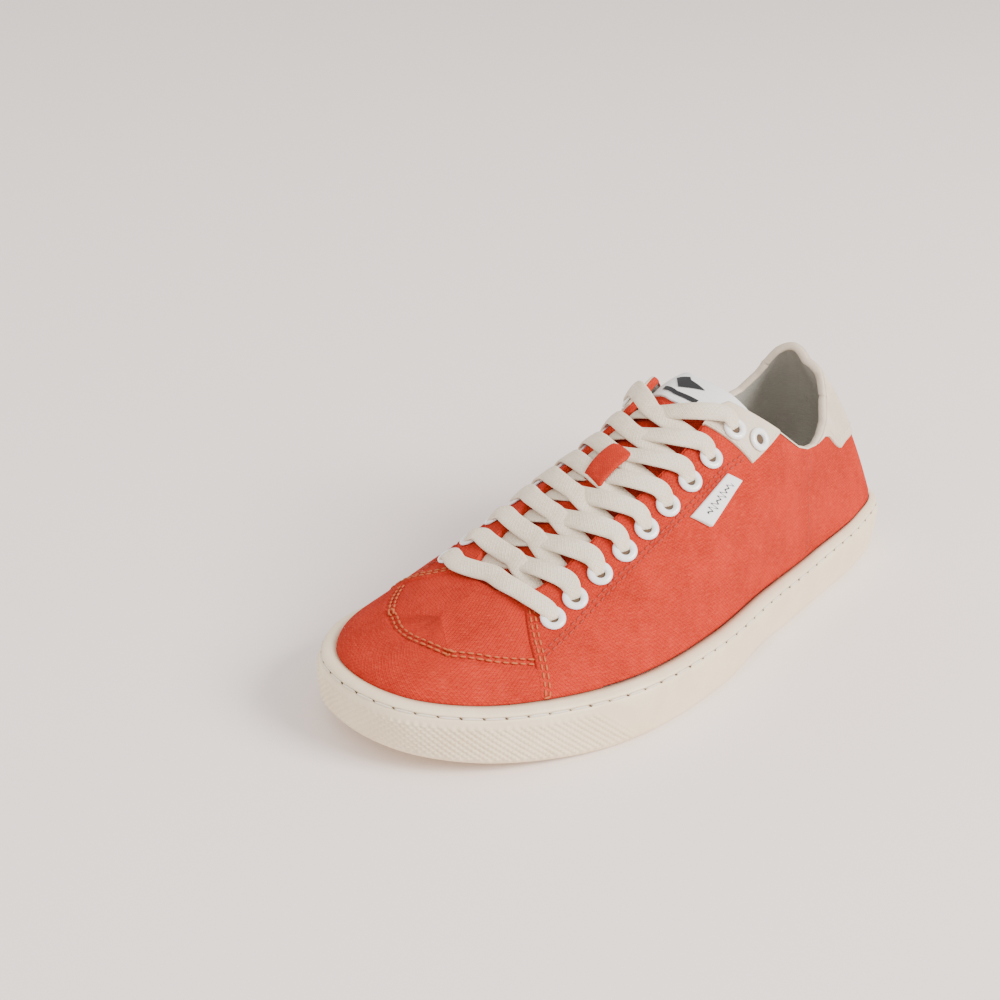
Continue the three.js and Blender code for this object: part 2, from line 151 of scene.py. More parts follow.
def tab(xs: Sequence[float], ys: Sequence[float], x: Array | float) -> Array:
    """Cubic through a table with the slopes of its neighbours.

    Args:
        xs: Growing stations.
        ys: Values at the stations.
        x: Where to read.

    Returns:
        The values at x, held constant past the ends.
    """
    xs, ys = np.asarray(xs, float), np.asarray(ys, float)
    n = len(xs)
    d = np.diff(ys) / np.diff(xs)
    m = np.empty(n)
    m[0], m[-1] = d[0], d[-1]
    a, b = np.diff(xs)[:-1], np.diff(xs)[1:]
    m[1:-1] = (d[1:] * a + d[:-1] * b) / (a + b)
    v = np.clip(np.asarray(x, float), xs[0], xs[-1])
    i = np.clip(np.searchsorted(xs, v, side="right") - 1, 0, n - 2)
    h = xs[i + 1] - xs[i]
    f = (v - xs[i]) / h
    ya, yb, ma, mb = ys[i], ys[i + 1], m[i] * h, m[i + 1] * h
    return ya + f * ma + f * f * (3 * (yb - ya) - 2 * ma - mb) + f**3 * (2 * (ya - yb) + ma + mb)


def smoothstep(a: float, b: float, x: Array) -> Array:
    """Soft step from 0 at a to 1 at b."""
    f = np.clip((np.asarray(x, float) - a) / (b - a), 0, 1)
    return f * f * (3 - 2 * f)


def unit(v: Array) -> Array:
    """Vectors scaled to length one along the last axis."""
    return v / np.maximum(np.linalg.norm(v, axis=-1, keepdims=True), 1e-12)


@dataclass(frozen=True)
class LastShape:
    """The last of the shoe as one surface of two numbers.

    t runs round the foot from the heel (0) past the outer side to the toe (0.5) and back, s climbs
    from the edge of the sole (0) to the ridge (1).
    """

    length: float = 290.0
    outline_pts: tuple = (
        (0, 1.5), (9, 27.5), (32, 37), (75, 44), (115, 50), (160, 58.5), (203, 59), (238, 50), (268, 34.5),
        (285, 15.5), (290, -7), (284, -29.5), (262, -47.5), (225, -52), (190, -50), (150, -43), (110, -38),
        (70, -37.5), (32, -36.5), (9, -25),
    )
    sole_x: tuple = (0, 12, 60, 95, 112, 140, 155, 215, 250, 290)
    edge_z: tuple = (24.2, 23.6, 22, 21.6, 21.9, 22.8, 23.3, 24, 25.6, 29.5)
    floor_z: tuple = (13, 12.5, 11.5, 11, 11, 11.2, 11.4, 12, 14, 19)
    toe_spring: float = 9.6
    arch_lift: float = 1.3
    feather_x: tuple = (0, 60, 150, 230, 290)
    feather: tuple = (4.5, 6, 7, 7, 7)
    rib_x: tuple = (5, 30, 64, 104, 138, 180, 223, 255, 285)
    outer_rib: tuple = (
        (-10.6, -14.4, -7.4, -1.5, -2.6, -3.4, -2.5, -1.4, -0.5),
        (35.2, 34.9, 32.4, 29.4, 29.7, 18.6, 10.3, 6.5, 7.8),
        (0.27, 0.34, 0.6, 0.99, 0.82, 0.61, 0.5, 0.5, 0.5),
        (0, -0.1, -0.1, -0.4, -0.6, 0.2, -0.1, 0, 0),
    )
    inner_rib: tuple = (
        (4, -2.8, 4.8, 12, 1.6, -2.1, -1.1, -0.5, -0.6),
        (35.2, 37.8, 35.3, 34.2, 29.3, 20.7, 15.6, 7.6, 5.3),
        (0.48, 0.63, 0.86, 1, 0.67, 0.59, 0.58, 0.51, 0.5),
        (0.1, 0, 0, -0.1, 1.3, 1.7, 0.9, 0.2, 0.1),
    )
    ridge_x: tuple = (45, 80, 110, 138, 180, 223, 250)
    ridge_z: tuple = (95.8, 101.6, 99.9, 89.5, 71.5, 50.2, 42.6)
    ridge_y: tuple = (-8.4, -4.4, -5.6, -4.4, -3.3, -2, -2.9)
    ridge_span: tuple = (48, 250)
    feet_span: tuple = (28, 272)
    topline_x: tuple = (-30, 22, 30.5, 33.2, 34.8, 38, 45, 54, 63, 73, 83, 91, 99, 108, 117, 124, 128)
    topline_z: tuple = (91, 90, 88.3, 84, 79, 72.5, 66, 63.4, 62.8, 65, 69.5, 75, 81, 88, 95, 104, 140)
    throat_x: tuple = (106, 113, 121, 130, 140, 160, 184, 208, 220, 226, 228.8)
    throat_outer: tuple = (23, 18, 15.5, 16.5, 18.5, 19, 18, 16.8, 14.5, 10.5, 3)
    throat_inner: tuple = (26, 22.5, 20, 18.5, 18, 17.5, 17, 16, 14.5, 11.5, 5)

    def outline(self, t: Array) -> Array:
        """Plan outline of the sole as a closed centripetal spline.

        Args:
            t: Share of the way round.

        Returns:
            Points, last axis x and y.
        """
        pts = np.array(self.outline_pts, float)
        n = len(pts)
        u = np.mod(np.asarray(t, float), 1.0) * n
        i = np.minimum(np.floor(u).astype(int), n - 1)
        f = (u - i)[..., None]
        p = [pts[(i + k) % n] for k in (-1, 0, 1, 2)]
        d = [np.sqrt(np.linalg.norm(p[k + 1] - p[k], axis=-1))[..., None] for k in range(3)]
        m1 = p[2] - p[1] + d[1] * ((p[1] - p[0]) / d[0] - (p[2] - p[0]) / (d[0] + d[1]))
        m2 = p[2] - p[1] + d[1] * ((p[3] - p[2]) / d[2] - (p[3] - p[1]) / (d[1] + d[2]))
        return p[1] + f * m1 + f * f * (3 * (p[2] - p[1]) - 2 * m1 - m2) + f**3 * (2 * (p[1] - p[2]) + m1 + m2)

    def plan(self, t: Array, inset: Array | float) -> tuple[Array, Array, Array]:
        """Outline moved inwards.

        Args:
            t: Share of the way round.
            inset: Distance inwards.

        Returns:
            Points, outward directions and x of the outline itself.
        """
        p = self.outline(t)
        d = unit(self.outline(np.asarray(t) + 1e-4) - self.outline(np.asarray(t) - 1e-4))
        n = np.stack([-d[..., 1], d[..., 0]], -1)
        return p - n * np.asarray(inset)[..., None], n, p[..., 0]

    def inset(self, t: Array) -> Array:
        """Distance of the canvas's foot inside the outline."""
        return tab(self.feather_x, self.feather, self.outline(t)[..., 0])

    def tread(self, x: Array) -> Array:
        """Height of the underside of the sole at x."""
        x = np.asarray(x, float)
        z = np.where(x < 12, 1.2 * (np.clip(12 - x, 0, None) / 12) ** 2, 0.0)
        arch = np.sin(np.pi * (np.clip(x, 98, 152) - 98) / 54) ** 2 * self.arch_lift
        toe = self.toe_spring * (np.clip(x - 212, 0, None) / (self.length - 212)) ** 1.7
        return z + arch + toe

    def point(self, t: Array, s: Array) -> Array:
        """Points of the last at t and s."""
        t, s = np.broadcast_arrays(np.asarray(t, float), np.asarray(s, float))
        foot, n, x0 = self.plan(t, self.inset(t))
        fz = tab(self.sole_x, self.edge_z, foot[..., 0])
        q = (0.5 * (x0 + self.outline(1 - t)[..., 0]) - self.feet_span[0]) / (self.feet_span[1] - self.feet_span[0])
        x = self.ridge_span[0] + (self.ridge_span[1] - self.ridge_span[0]) * np.clip(q, 0, 1)
        r = np.stack([x, tab(self.ridge_x, self.ridge_y, x), tab(self.ridge_x, self.ridge_z, x)], -1)
        w = np.clip(0.5 + (foot[..., 1] + 5) / 28, 0, 1)
        side = w * w * (3 - 2 * w)
        lean, rise, reach, hang = (
            side * tab(self.rib_x, a, foot[..., 0]) + (1 - side) * tab(self.rib_x, b, foot[..., 0])
            for a, b in zip(self.outer_rib, self.inner_rib)
        )
        slope = self.ridge_slope(x)
        span = (foot - r[..., :2]) * reach[..., None]
        f = np.concatenate([foot, fz[..., None]], -1)
        low = np.concatenate([foot + n * lean[..., None], (fz + rise)[..., None]], -1)
        high = np.concatenate([r[..., :2] + span, (r[..., 2] + slope * span[..., 0] - hang)[..., None]], -1)
        a = s[..., None]
        return (1 - a) ** 3 * f + 3 * (1 - a) ** 2 * a * low + 3 * (1 - a) * a * a * high + a**3 * r

    def ridge_slope(self, x: Array) -> Array:
        """Slope of the ridge at x."""
        lo, hi = self.ridge_span
        z = lambda v: tab(self.ridge_x, self.ridge_z, v)
        mid = z(x + 0.5) - z(x - 0.5)
        return np.where(x <= lo + 1e-6, 0.0, np.where(x >= hi - 1e-6, z(hi) - z(hi - 1), mid))

    def normal(self, t: Array, s: Array) -> Array:
        """Outward normals of the last."""
        t, s = np.broadcast_arrays(np.asarray(t, float), np.asarray(s, float))

        def raw(t: Array, s: Array) -> Array:
            u = self.point(t + 1e-3, s) - self.point(t - 1e-3, s)
            v = self.point(t, np.minimum(s + 2e-3, 1)) - self.point(t, np.maximum(s - 2e-3, 0))
            return unit(np.cross(v, u))

        n = raw(t, np.minimum(s, 0.985))
        top = unit(raw(t, np.full_like(s, 0.97)) + raw(1 - t, np.full_like(s, 0.97)))
        return np.where((s > 0.985)[..., None], top, n)

    def off(self, t: Array, s: Array, height: Array | float) -> Array:
        """Points off the last by height along its normals."""
        return self.point(t, s) + self.normal(t, s) * np.asarray(height)[..., None]

    @staticmethod
    def ts(w: Array, c: Array) -> tuple[Array, Array]:
        """Rib and share (0 at the ridge, 1 outer edge, -1 inner edge) as t and s."""
        w, c = np.broadcast_arrays(np.asarray(w, float), np.asarray(c, float))
        return np.where(c >= 0, w, 1 - w), 1 - np.abs(c)

    def across(self, w: Array, c: Array, height: Array | float) -> Array:
        """Points by rib and share, off by height."""
        t, s = self.ts(w, c)
        return self.off(t, s, height)

    def locate(self, x: float, y: float) -> tuple[float, float]:
        """Rib and share over a plan point.

        Args:
            x: Along the foot.
            y: Across the foot.

        Returns:
            Rib and share.
        """
        sign = 1.0 if y > -4 else -1.0
        wg, cg = np.meshgrid(np.arange(0.06, 0.47, 0.01), np.arange(0.04, 1.0, 0.04) * sign)
        p = self.point(*self.ts(wg, cg))
        k = np.argmin(np.hypot(p[..., 0] - x, p[..., 1] - y))
        w, c = float(wg.flat[k]), float(cg.flat[k])
        e = lambda w, c: (self.point(*self.ts(w, c)) - np.array([x, y, 0]))[:2]
        for _ in range(10):
            e0 = e(w, c)
            j = np.stack([(e(w + 1e-4, c) - e0) / 1e-4, (e(w, c + 1e-4) - e0) / 1e-4], 1)
            w, c = np.array([w, c]) - np.linalg.solve(j, e0)
            c = sign * min(max(abs(c), 0.005), 0.9995)
        return float(w), float(c)

    def is_cut(self, p: Array) -> Array:
        """Whether points lie in the collar's or the throat's opening."""
        top = np.interp(p[..., 0], self.topline_x, self.topline_z)
        collar = (p[..., 2] > np.minimum(top, tab(self.topline_x, self.topline_z, p[..., 0]) + 1.5)) & (p[..., 0] < 128)
        y0 = tab(self.throat_x, self.throat_outer, p[..., 0])
        y1 = tab(self.throat_x, self.throat_inner, p[..., 0])
        throat = (p[..., 0] < 228.8) & (p[..., 0] > 100) & (p[..., 1] < y0) & (p[..., 1] > -y1) & (p[..., 2] > 34)
        return collar | throat

    def top(self, t: Array) -> Array:
        """Share of the climb at which each rib meets the rim, or 1 where it meets none."""
        t = np.asarray(t, float)
        s = np.linspace(0.3, 1, 281)
        cut = self.is_cut(self.point(t[:, None], s[None, :]))
        first = np.argmax(cut, axis=1)
        any_cut = cut.any(axis=1)
        hi = s[np.maximum(first, 1)]
        lo = hi - (s[1] - s[0])
        for _ in range(10):
            mid = 0.5 * (lo + hi)
            c = self.is_cut(self.point(t, mid))
            hi, lo = np.where(c, mid, hi), np.where(c, lo, mid)
        return np.where(any_cut, 0.5 * (lo + hi), 1.0)


LAST = LastShape()


# ---- shader groups and finishes ----


class Graph:
    """Small helper that adds nodes to a node tree and links them."""

    def __init__(self, tree: bpy.types.NodeTree) -> None:
        self.tree = tree

    def node(self, kind: str, **props: object) -> bpy.types.Node:
        """Adds a node and sets its properties."""
        n = self.tree.nodes.new(kind)
        for k, v in props.items():
            setattr(n, k, v)
        return n

    def link(self, a: bpy.types.NodeSocket, b: bpy.types.NodeSocket) -> None:
        """Links an output to an input."""
        self.tree.links.new(a, b)

    def math(self, op: str, a: object, b: object = 0.0, clamp: bool = False) -> bpy.types.NodeSocket:
        """Adds a math node on two sockets or numbers and returns its output."""
        n = self.node("ShaderNodeMath", operation=op, use_clamp=clamp)
        for i, v in enumerate((a, b)):
            if isinstance(v, bpy.types.NodeSocket):
                self.link(v, n.inputs[i])
            else:
                n.inputs[i].default_value = float(v)
        return n.outputs[0]

    def mix(self, factor: object, a: object, b: object, blend: str = "MIX") -> bpy.types.NodeSocket:
        """Adds a colour mix node and returns its output."""
        n = self.node("ShaderNodeMix", data_type="RGBA", blend_type=blend)
        for i, v in ((0, factor), (6, a), (7, b)):
            if isinstance(v, bpy.types.NodeSocket):
                self.link(v, n.inputs[i])
            else:
                n.inputs[i].default_value = v
        return n.outputs[2]


def group(name: str, inputs: dict[str, float], outputs: dict[str, str]) -> tuple[Graph, dict, dict]:
    """Starts a shader node group.

    Args:
        name: Name of the group.
        inputs: Float inputs with their defaults.
        outputs: Outputs with their socket types.

    Returns:
        The graph, the group's input sockets by name and its output sockets by name.
    """
    tree = bpy.data.node_groups.new(name, "ShaderNodeTree")
    tree.interface.new_socket("Vector", in_out="INPUT", socket_type="NodeSocketVector")
    for k, v in inputs.items():
        tree.interface.new_socket(k, in_out="INPUT", socket_type="NodeSocketFloat").default_value = v
    for k, kind in outputs.items():
        tree.interface.new_socket(k, in_out="OUTPUT", socket_type=kind)
    g = Graph(tree)
    gi, go = g.node("NodeGroupInput"), g.node("NodeGroupOutput")
    return g, {s.name: s for s in gi.outputs}, {s.name: s for s in go.inputs}


def weave_group() -> bpy.types.NodeTree:
    """Plain weave: over and under threads with uneven thickness, from coordinates in millimetres."""
    g, i, o = group(
        "woven_cloth",
        {"Pitch": 0.8, "Unevenness": 0.35},
        {"Height": "NodeSocketFloat", "Thread": "NodeSocketFloat", "Slub": "NodeSocketFloat"},
    )
    xyz = g.node("ShaderNodeSeparateXYZ")
    g.link(i["Vector"], xyz.inputs[0])
    warp = g.node("ShaderNodeTexNoise")
    warp.inputs["Scale"].default_value = 0.9
    warp.inputs["Detail"].default_value = 2.0
    g.link(i["Vector"], warp.inputs["Vector"])
    bend = g.math("MULTIPLY", g.math("SUBTRACT", warp.outputs[0], 0.5), i["Unevenness"])
    k = g.math("DIVIDE", 2 * math.pi, i["Pitch"])
    a = g.math("MULTIPLY", g.math("ADD", xyz.outputs[0], bend), k)
    b = g.math("MULTIPLY", g.math("ADD", xyz.outputs[1], bend), k)
    sa, sb = g.math("SINE", a), g.math("SINE", b)
    ha = g.math("SINE", g.math("MULTIPLY", a, 0.5))
    hb = g.math("SINE", g.math("MULTIPLY", b, 0.5))
    over = g.math("MULTIPLY", ha, hb)
    ridge = g.math("MULTIPLY", sa, sb)
    height = g.math("ADD", g.math("MULTIPLY", over, 0.5), g.math("MULTIPLY", ridge, 0.5))
    g.link(g.math("MULTIPLY_ADD", height, 0.5), o["Height"])
    slub = g.node("ShaderNodeTexNoise")
    slub.inputs["Scale"].default_value = 1.0
    slub.inputs["Detail"].default_value = 3.0
    stretch = g.node("ShaderNodeMapping")
    stretch.inputs["Scale"].default_value = (0.25, 2.4, 1.0)
    g.link(i["Vector"], stretch.inputs["Vector"])
    g.link(stretch.outputs[0], slub.inputs["Vector"])
    g.link(slub.outputs[0], o["Slub"])
    g.link(g.math("ADD", g.math("MULTIPLY", height, 0.5), 0.5), o["Thread"])
    return g.tree


def mottle_group() -> bpy.types.NodeTree:
    """Washed, uneven dye: soft clouds and small flecks."""
    g, i, o = group(
        "mottled_dye",
        {"Cloud": 0.05, "Fleck": 1.6},
        {"Cloud Mask": "NodeSocketFloat", "Fleck Mask": "NodeSocketFloat"},
    )
    for key, name, detail in (("Cloud", "Cloud Mask", 5.0), ("Fleck", "Fleck Mask", 3.0)):
        n = g.node("ShaderNodeTexNoise")
        n.inputs["Detail"].default_value = detail
        n.inputs["Roughness"].default_value = 0.62
        g.link(i["Vector"], n.inputs["Vector"])
        g.link(i[key], n.inputs["Scale"])
        ramp = g.node("ShaderNodeMapRange", interpolation_type="SMOOTHSTEP")
        ramp.inputs["From Min"].default_value = 0.33
        ramp.inputs["From Max"].default_value = 0.67
        g.link(n.outputs[0], ramp.inputs["Value"])
        g.link(ramp.outputs[0], o[name])
    return g.tree


def grain_group() -> bpy.types.NodeTree:
    """Fine pebble grain of leather or moulded rubber."""
    g, i, o = group("fine_grain", {"Scale": 1.2}, {"Height": "NodeSocketFloat", "Dust": "NodeSocketFloat"})
    v = g.node("ShaderNodeTexVoronoi", feature="SMOOTH_F1")
    g.link(i["Vector"], v.inputs["Vector"])
    g.link(i["Scale"], v.inputs["Scale"])
    g.link(v.outputs["Distance"], o["Height"])
    n = g.node("ShaderNodeTexNoise")
    n.inputs["Scale"].default_value = 0.08
    n.inputs["Detail"].default_value = 6.0
    g.link(i["Vector"], n.inputs["Vector"])
    g.link(n.outputs[0], o["Dust"])
    return g.tree


@dataclass(frozen=True)
class Finish:
    """A surface finish; colours are linear."""

    name: str
    slot: str
    colour: tuple[float, float, float]
    shade: tuple[float, float, float]
    light: tuple[float, float, float]
    roughness: float = 0.85
    bump: float = 0.3
    pitch: float = 0.9
    woven: bool = True
    sheen: float = 0.0
    coat: float = 0.0
    specular: float = 0.5

    def build(self, groups: dict[str, bpy.types.NodeTree]) -> bpy.types.Material:
        """Makes the material.

        Args:
            groups: The shared shader groups.

        Returns:
            The material.
        """
        mat = bpy.data.materials.new(self.name)
        mat.use_nodes = True
        g = Graph(mat.node_tree)
        bsdf = mat.node_tree.nodes["Principled BSDF"]
        uv = g.node("ShaderNodeUVMap", uv_map="cloth")
        base = (*self.colour, 1.0)
        mott = g.node("ShaderNodeGroup", node_tree=groups["mottle"])
        g.link(uv.outputs[0], mott.inputs["Vector"])
        col = g.mix(g.math("MULTIPLY", mott.outputs["Cloud Mask"], 0.55), base, (*self.shade, 1.0))
        col = g.mix(g.math("MULTIPLY", mott.outputs["Fleck Mask"], 0.35), col, (*self.light, 1.0))
        bump = g.node("ShaderNodeBump")
        bump.inputs["Strength"].default_value = self.bump
        bump.inputs["Distance"].default_value = 0.0006
        if self.woven:
            weave = g.node("ShaderNodeGroup", node_tree=groups["weave"])
            weave.inputs["Pitch"].default_value = self.pitch
            g.link(uv.outputs[0], weave.inputs["Vector"])
            # Painted shade: the hollows between the threads are mixed towards the shade colour.
            painted_gap_shade = g.math("SUBTRACT", 1.0, weave.outputs["Thread"])
            col = g.mix(g.math("MULTIPLY", painted_gap_shade, 0.45), col, (*self.shade, 1.0))
            col = g.mix(g.math("MULTIPLY", g.math("SUBTRACT", weave.outputs["Slub"], 0.45, clamp=True), 1.6), col,
                        (*self.light, 1.0))
            g.link(weave.outputs["Height"], bump.inputs["Height"])
        else:
            grain = g.node("ShaderNodeGroup", node_tree=groups["grain"])
            g.link(uv.outputs[0], grain.inputs["Vector"])
            dust = g.math("MULTIPLY", g.math("SUBTRACT", grain.outputs["Dust"], 0.45, clamp=True), 1.4)
            col = g.mix(dust, col, (*self.shade, 1.0))
            g.link(grain.outputs["Height"], bump.inputs["Height"])
        g.link(col, bsdf.inputs["Base Color"])
        g.link(bump.outputs[0], bsdf.inputs["Normal"])
        bsdf.inputs["Roughness"].default_value = self.roughness
        bsdf.inputs["Specular IOR Level"].default_value = self.specular
        bsdf.inputs["Sheen Weight"].default_value = self.sheen
        bsdf.inputs["Sheen Roughness"].default_value = 0.6
        bsdf.inputs["Coat Weight"].default_value = self.coat
        bsdf.inputs["Coat Roughness"].default_value = 0.12
        return mat


class Finishes:
    """All finishes of the shoe."""

    SPECS: dict[str, Finish] = {
        "canvas": Finish("coral_canvas", "canvas", (0.54, 0.030, 0.014), (0.26, 0.008, 0.003), (0.70, 0.085, 0.045),
                         roughness=0.9, bump=0.7, pitch=0.85, specular=0.08),
        "lace": Finish("flat_cotton", "lace", (0.88, 0.78, 0.62), (0.6, 0.47, 0.32), (0.94, 0.87, 0.74), roughness=0.95,
                       bump=0.5, pitch=0.8, specular=0.15),
        "lining": Finish("soft_lining", "insole", (0.50, 0.49, 0.43), (0.34, 0.33, 0.28), (0.62, 0.6, 0.54),
                         roughness=0.85, bump=0.25, pitch=0.7),
        "rubber": Finish("cream_rubber", "sole_rubber", (0.88, 0.73, 0.51), (0.76, 0.6, 0.38), (0.92, 0.8, 0.6),
                         roughness=0.5, bump=0.05, woven=False),
        "leather": Finish("beige_leather", "leather", (0.70, 0.59, 0.46), (0.54, 0.43, 0.31), (0.78, 0.68, 0.56),
                          roughness=0.5, bump=0.25, woven=False),
        "label": Finish("white_label", "label", (0.86, 0.86, 0.84), (0.7, 0.7, 0.67), (0.92, 0.92, 0.9),
                        roughness=0.7, bump=0.15, pitch=0.5),
        "ink": Finish("black_print", "label", (0.01, 0.01, 0.012), (0.006, 0.006, 0.008), (0.02, 0.02, 0.02),
                      roughness=0.6, bump=0.1, woven=False),
        "enamel": Finish("white_enamel", "eyelet", (0.9, 0.9, 0.9), (0.82, 0.82, 0.82), (0.93, 0.93, 0.93),
                         roughness=0.25, bump=0.0, woven=False, coat=0.6),
        "thread": Finish("rust_thread", "canvas", (0.44, 0.085, 0.018), (0.24, 0.035, 0.008), (0.62, 0.17, 0.05),
                         roughness=0.7, bump=0.2, woven=False),
        "thread_red": Finish("coral_thread", "canvas", (0.36, 0.03, 0.013), (0.18, 0.012, 0.006), (0.5, 0.07, 0.035),
                             roughness=0.8, bump=0.2, woven=False),
        "thread_pale": Finish("cream_thread", "leather", (0.78, 0.71, 0.6), (0.6, 0.5, 0.38), (0.85, 0.8, 0.7),
                              roughness=0.7, bump=0.2, woven=False),
        # Dark colour painted as the shade inside the sole's needle holes and the eyelets' holes.
        "shadow": Finish("needle_hole", "sole_rubber", (0.10, 0.06, 0.035), (0.05, 0.03, 0.02), (0.16, 0.1, 0.06),
                         roughness=0.9, bump=0.0, woven=False),
    }

    def __init__(self) -> None:
        groups = {"weave": weave_group(), "mottle": mottle_group(), "grain": grain_group()}
        self.materials = {k: v.build(groups) for k, v in self.SPECS.items()}

    def get(self, key: str) -> bpy.types.Material:
        """The material of a finish."""
        return self.materials[key]


# ---- mesh building ----


class Skin:
    """Turns point grids in the last's frame into pieces in the row frame."""

    ORIGIN = np.array([145.0, 3.9, 0.0])

    def __init__(self, finishes: Finishes) -> None:
        self.finishes = finishes

    @classmethod
    def place(cls, p: Array) -> Array:
        """Millimetres in the last's frame to metres in the row frame."""
        return (np.asarray(p, float) - cls.ORIGIN) / 1000.0

    def mesh(self, name: str, verts: Array, faces: Sequence[Sequence[int]], uv: Array, finish: str,
             smooth: bool = True) -> bpy.types.Object:
        """A piece from vertices, faces and cloth coordinates.

        Args:
            name: Piece name.
            verts: Vertices in the last's frame.
            faces: Vertex indices of each face.
            uv: Cloth coordinates in millimetres for each vertex.
            finish: Key of the finish.
            smooth: Whether faces are smooth shaded.

        Returns:
            The object.
        """
        me = bpy.data.meshes.new(name)
        me.from_pydata(self.place(verts).tolist(), [], [list(f) for f in faces])
        layer = me.uv_layers.new(name="cloth")
        idx = np.empty(len(me.loops), np.int32)
        me.loops.foreach_get("vertex_index", idx)
        layer.data.foreach_set("uv", np.asarray(uv, np.float32)[idx].ravel())
        obj = bpy.data.objects.new(name, me)
        bpy.context.scene.collection.objects.link(obj)
        self.tidy(obj, smooth)
        me.materials.append(self.finishes.get(finish))
        return obj

    @staticmethod
    def tidy(obj: bpy.types.Object, smooth: bool = True) -> None:
        """Merges doubles, drops empty faces and turns normals out."""
        bm = bmesh.new()
        bm.from_mesh(obj.data)
        bmesh.ops.remove_doubles(bm, verts=bm.verts, dist=2e-6)
        bmesh.ops.dissolve_degenerate(bm, edges=bm.edges, dist=1e-7)
        bmesh.ops.recalc_face_normals(bm, faces=bm.faces)
        for f in bm.faces:
            f.smooth = smooth
        bm.to_mesh(obj.data)
        bm.free()

    def grid(self, name: str, p: Array, uv: Array, finish: str, wrap: bool = False) -> bpy.types.Object:
        """A piece from a grid of points.

        Args:
            name: Piece name.
            p: Points, rows by columns by 3.
            uv: Cloth coordinates of the same rows and columns.
            finish: Key of the finish.
            wrap: Whether the last column joins the first.

        Returns:
            The object.
        """
        j, i = p.shape[:2]
        return self.mesh(name, p.reshape(-1, 3), self.quads(j, i, wrap), uv.reshape(-1, 2), finish)

    @staticmethod
    def quads(rows: int, cols: int, wrap: bool = False) -> Array:
        """Faces of a grid of rows by cols."""
        i = np.arange(cols if wrap else cols - 1)
        j = np.arange(rows - 1)
        jj, ii = np.meshgrid(j, i, indexing="ij")
        kk = (ii + 1) % cols
        a = jj * cols + ii
        return np.stack([a, jj * cols + kk, (jj + 1) * cols + kk, (jj + 1) * cols + ii], -1).reshape(-1, 4)

    def sheet(self, name: str, t: Array, s: Array, top: Array | float, base: Array | float, finish: str,
              shape: Optional[Callable[[Array], Array]] = None) -> bpy.types.Object:
        """A sheet on the last with softened edges, open on its hidden face.

        Args:
            name: Piece name.
            t: Places round the foot, rows by columns.
            s: Climb of the same rows and columns.
            top: Height of the face that shows.
            base: Height its edges turn down to.
            finish: Key of the finish.
            shape: Extra height as a function of the points.

        Returns:
            The object.
        """
        p = LAST.point(t, s)
        n = LAST.normal(t, s)
        top = np.broadcast_to(np.asarray(top, float), t.shape)
        base = np.broadcast_to(np.asarray(base, float), t.shape)
        if shape is not None:
            top = top + shape(p)
        uv = self.cloth_uv(t, p)
        tj = np.pad(t, 1, mode="edge")
        pj = np.pad(p, ((1, 1), (1, 1), (0, 0)), mode="edge")
        nj = np.pad(n, ((1, 1), (1, 1), (0, 0)), mode="edge")
        uvj = np.pad(uv, ((1, 1), (1, 1), (0, 0)), mode="edge")
        h = np.pad(top, 1, mode="edge")
        edge = np.zeros_like(tj, bool)
        edge[0], edge[-1], edge[:, 0], edge[:, -1] = True, True, True, True
        h = np.where(edge, np.pad(base, 1, mode="edge"), h)
        ring = np.zeros_like(edge)
        ring[1, 1:-1], ring[-2, 1:-1], ring[1:-1, 1], ring[1:-1, -2] = True, True, True, True
        drop = np.minimum(0.25 * (np.pad(top, 1, mode="edge") - np.pad(base, 1, mode="edge")), 0.3)
        h = np.where(ring, h - drop, h)
        return self.grid(name, pj + nj * h[..., None], uvj, finish)

    @staticmethod
    def cloth_uv(t: Array, p: Array) -> Array:
        """Cloth coordinates in millimetres: round the foot, and up each rib."""
        step = np.linalg.norm(np.diff(p, axis=0), axis=-1)
        up = np.concatenate([np.zeros((1, p.shape[1])), np.cumsum(step, 0)], 0)
        mid = p[p.shape[0] // 3]
        round_ = np.concatenate([[0.0], np.cumsum(np.linalg.norm(np.diff(mid, axis=0), axis=-1))])
        return np.stack([np.broadcast_to(round_, t.shape), up], -1)


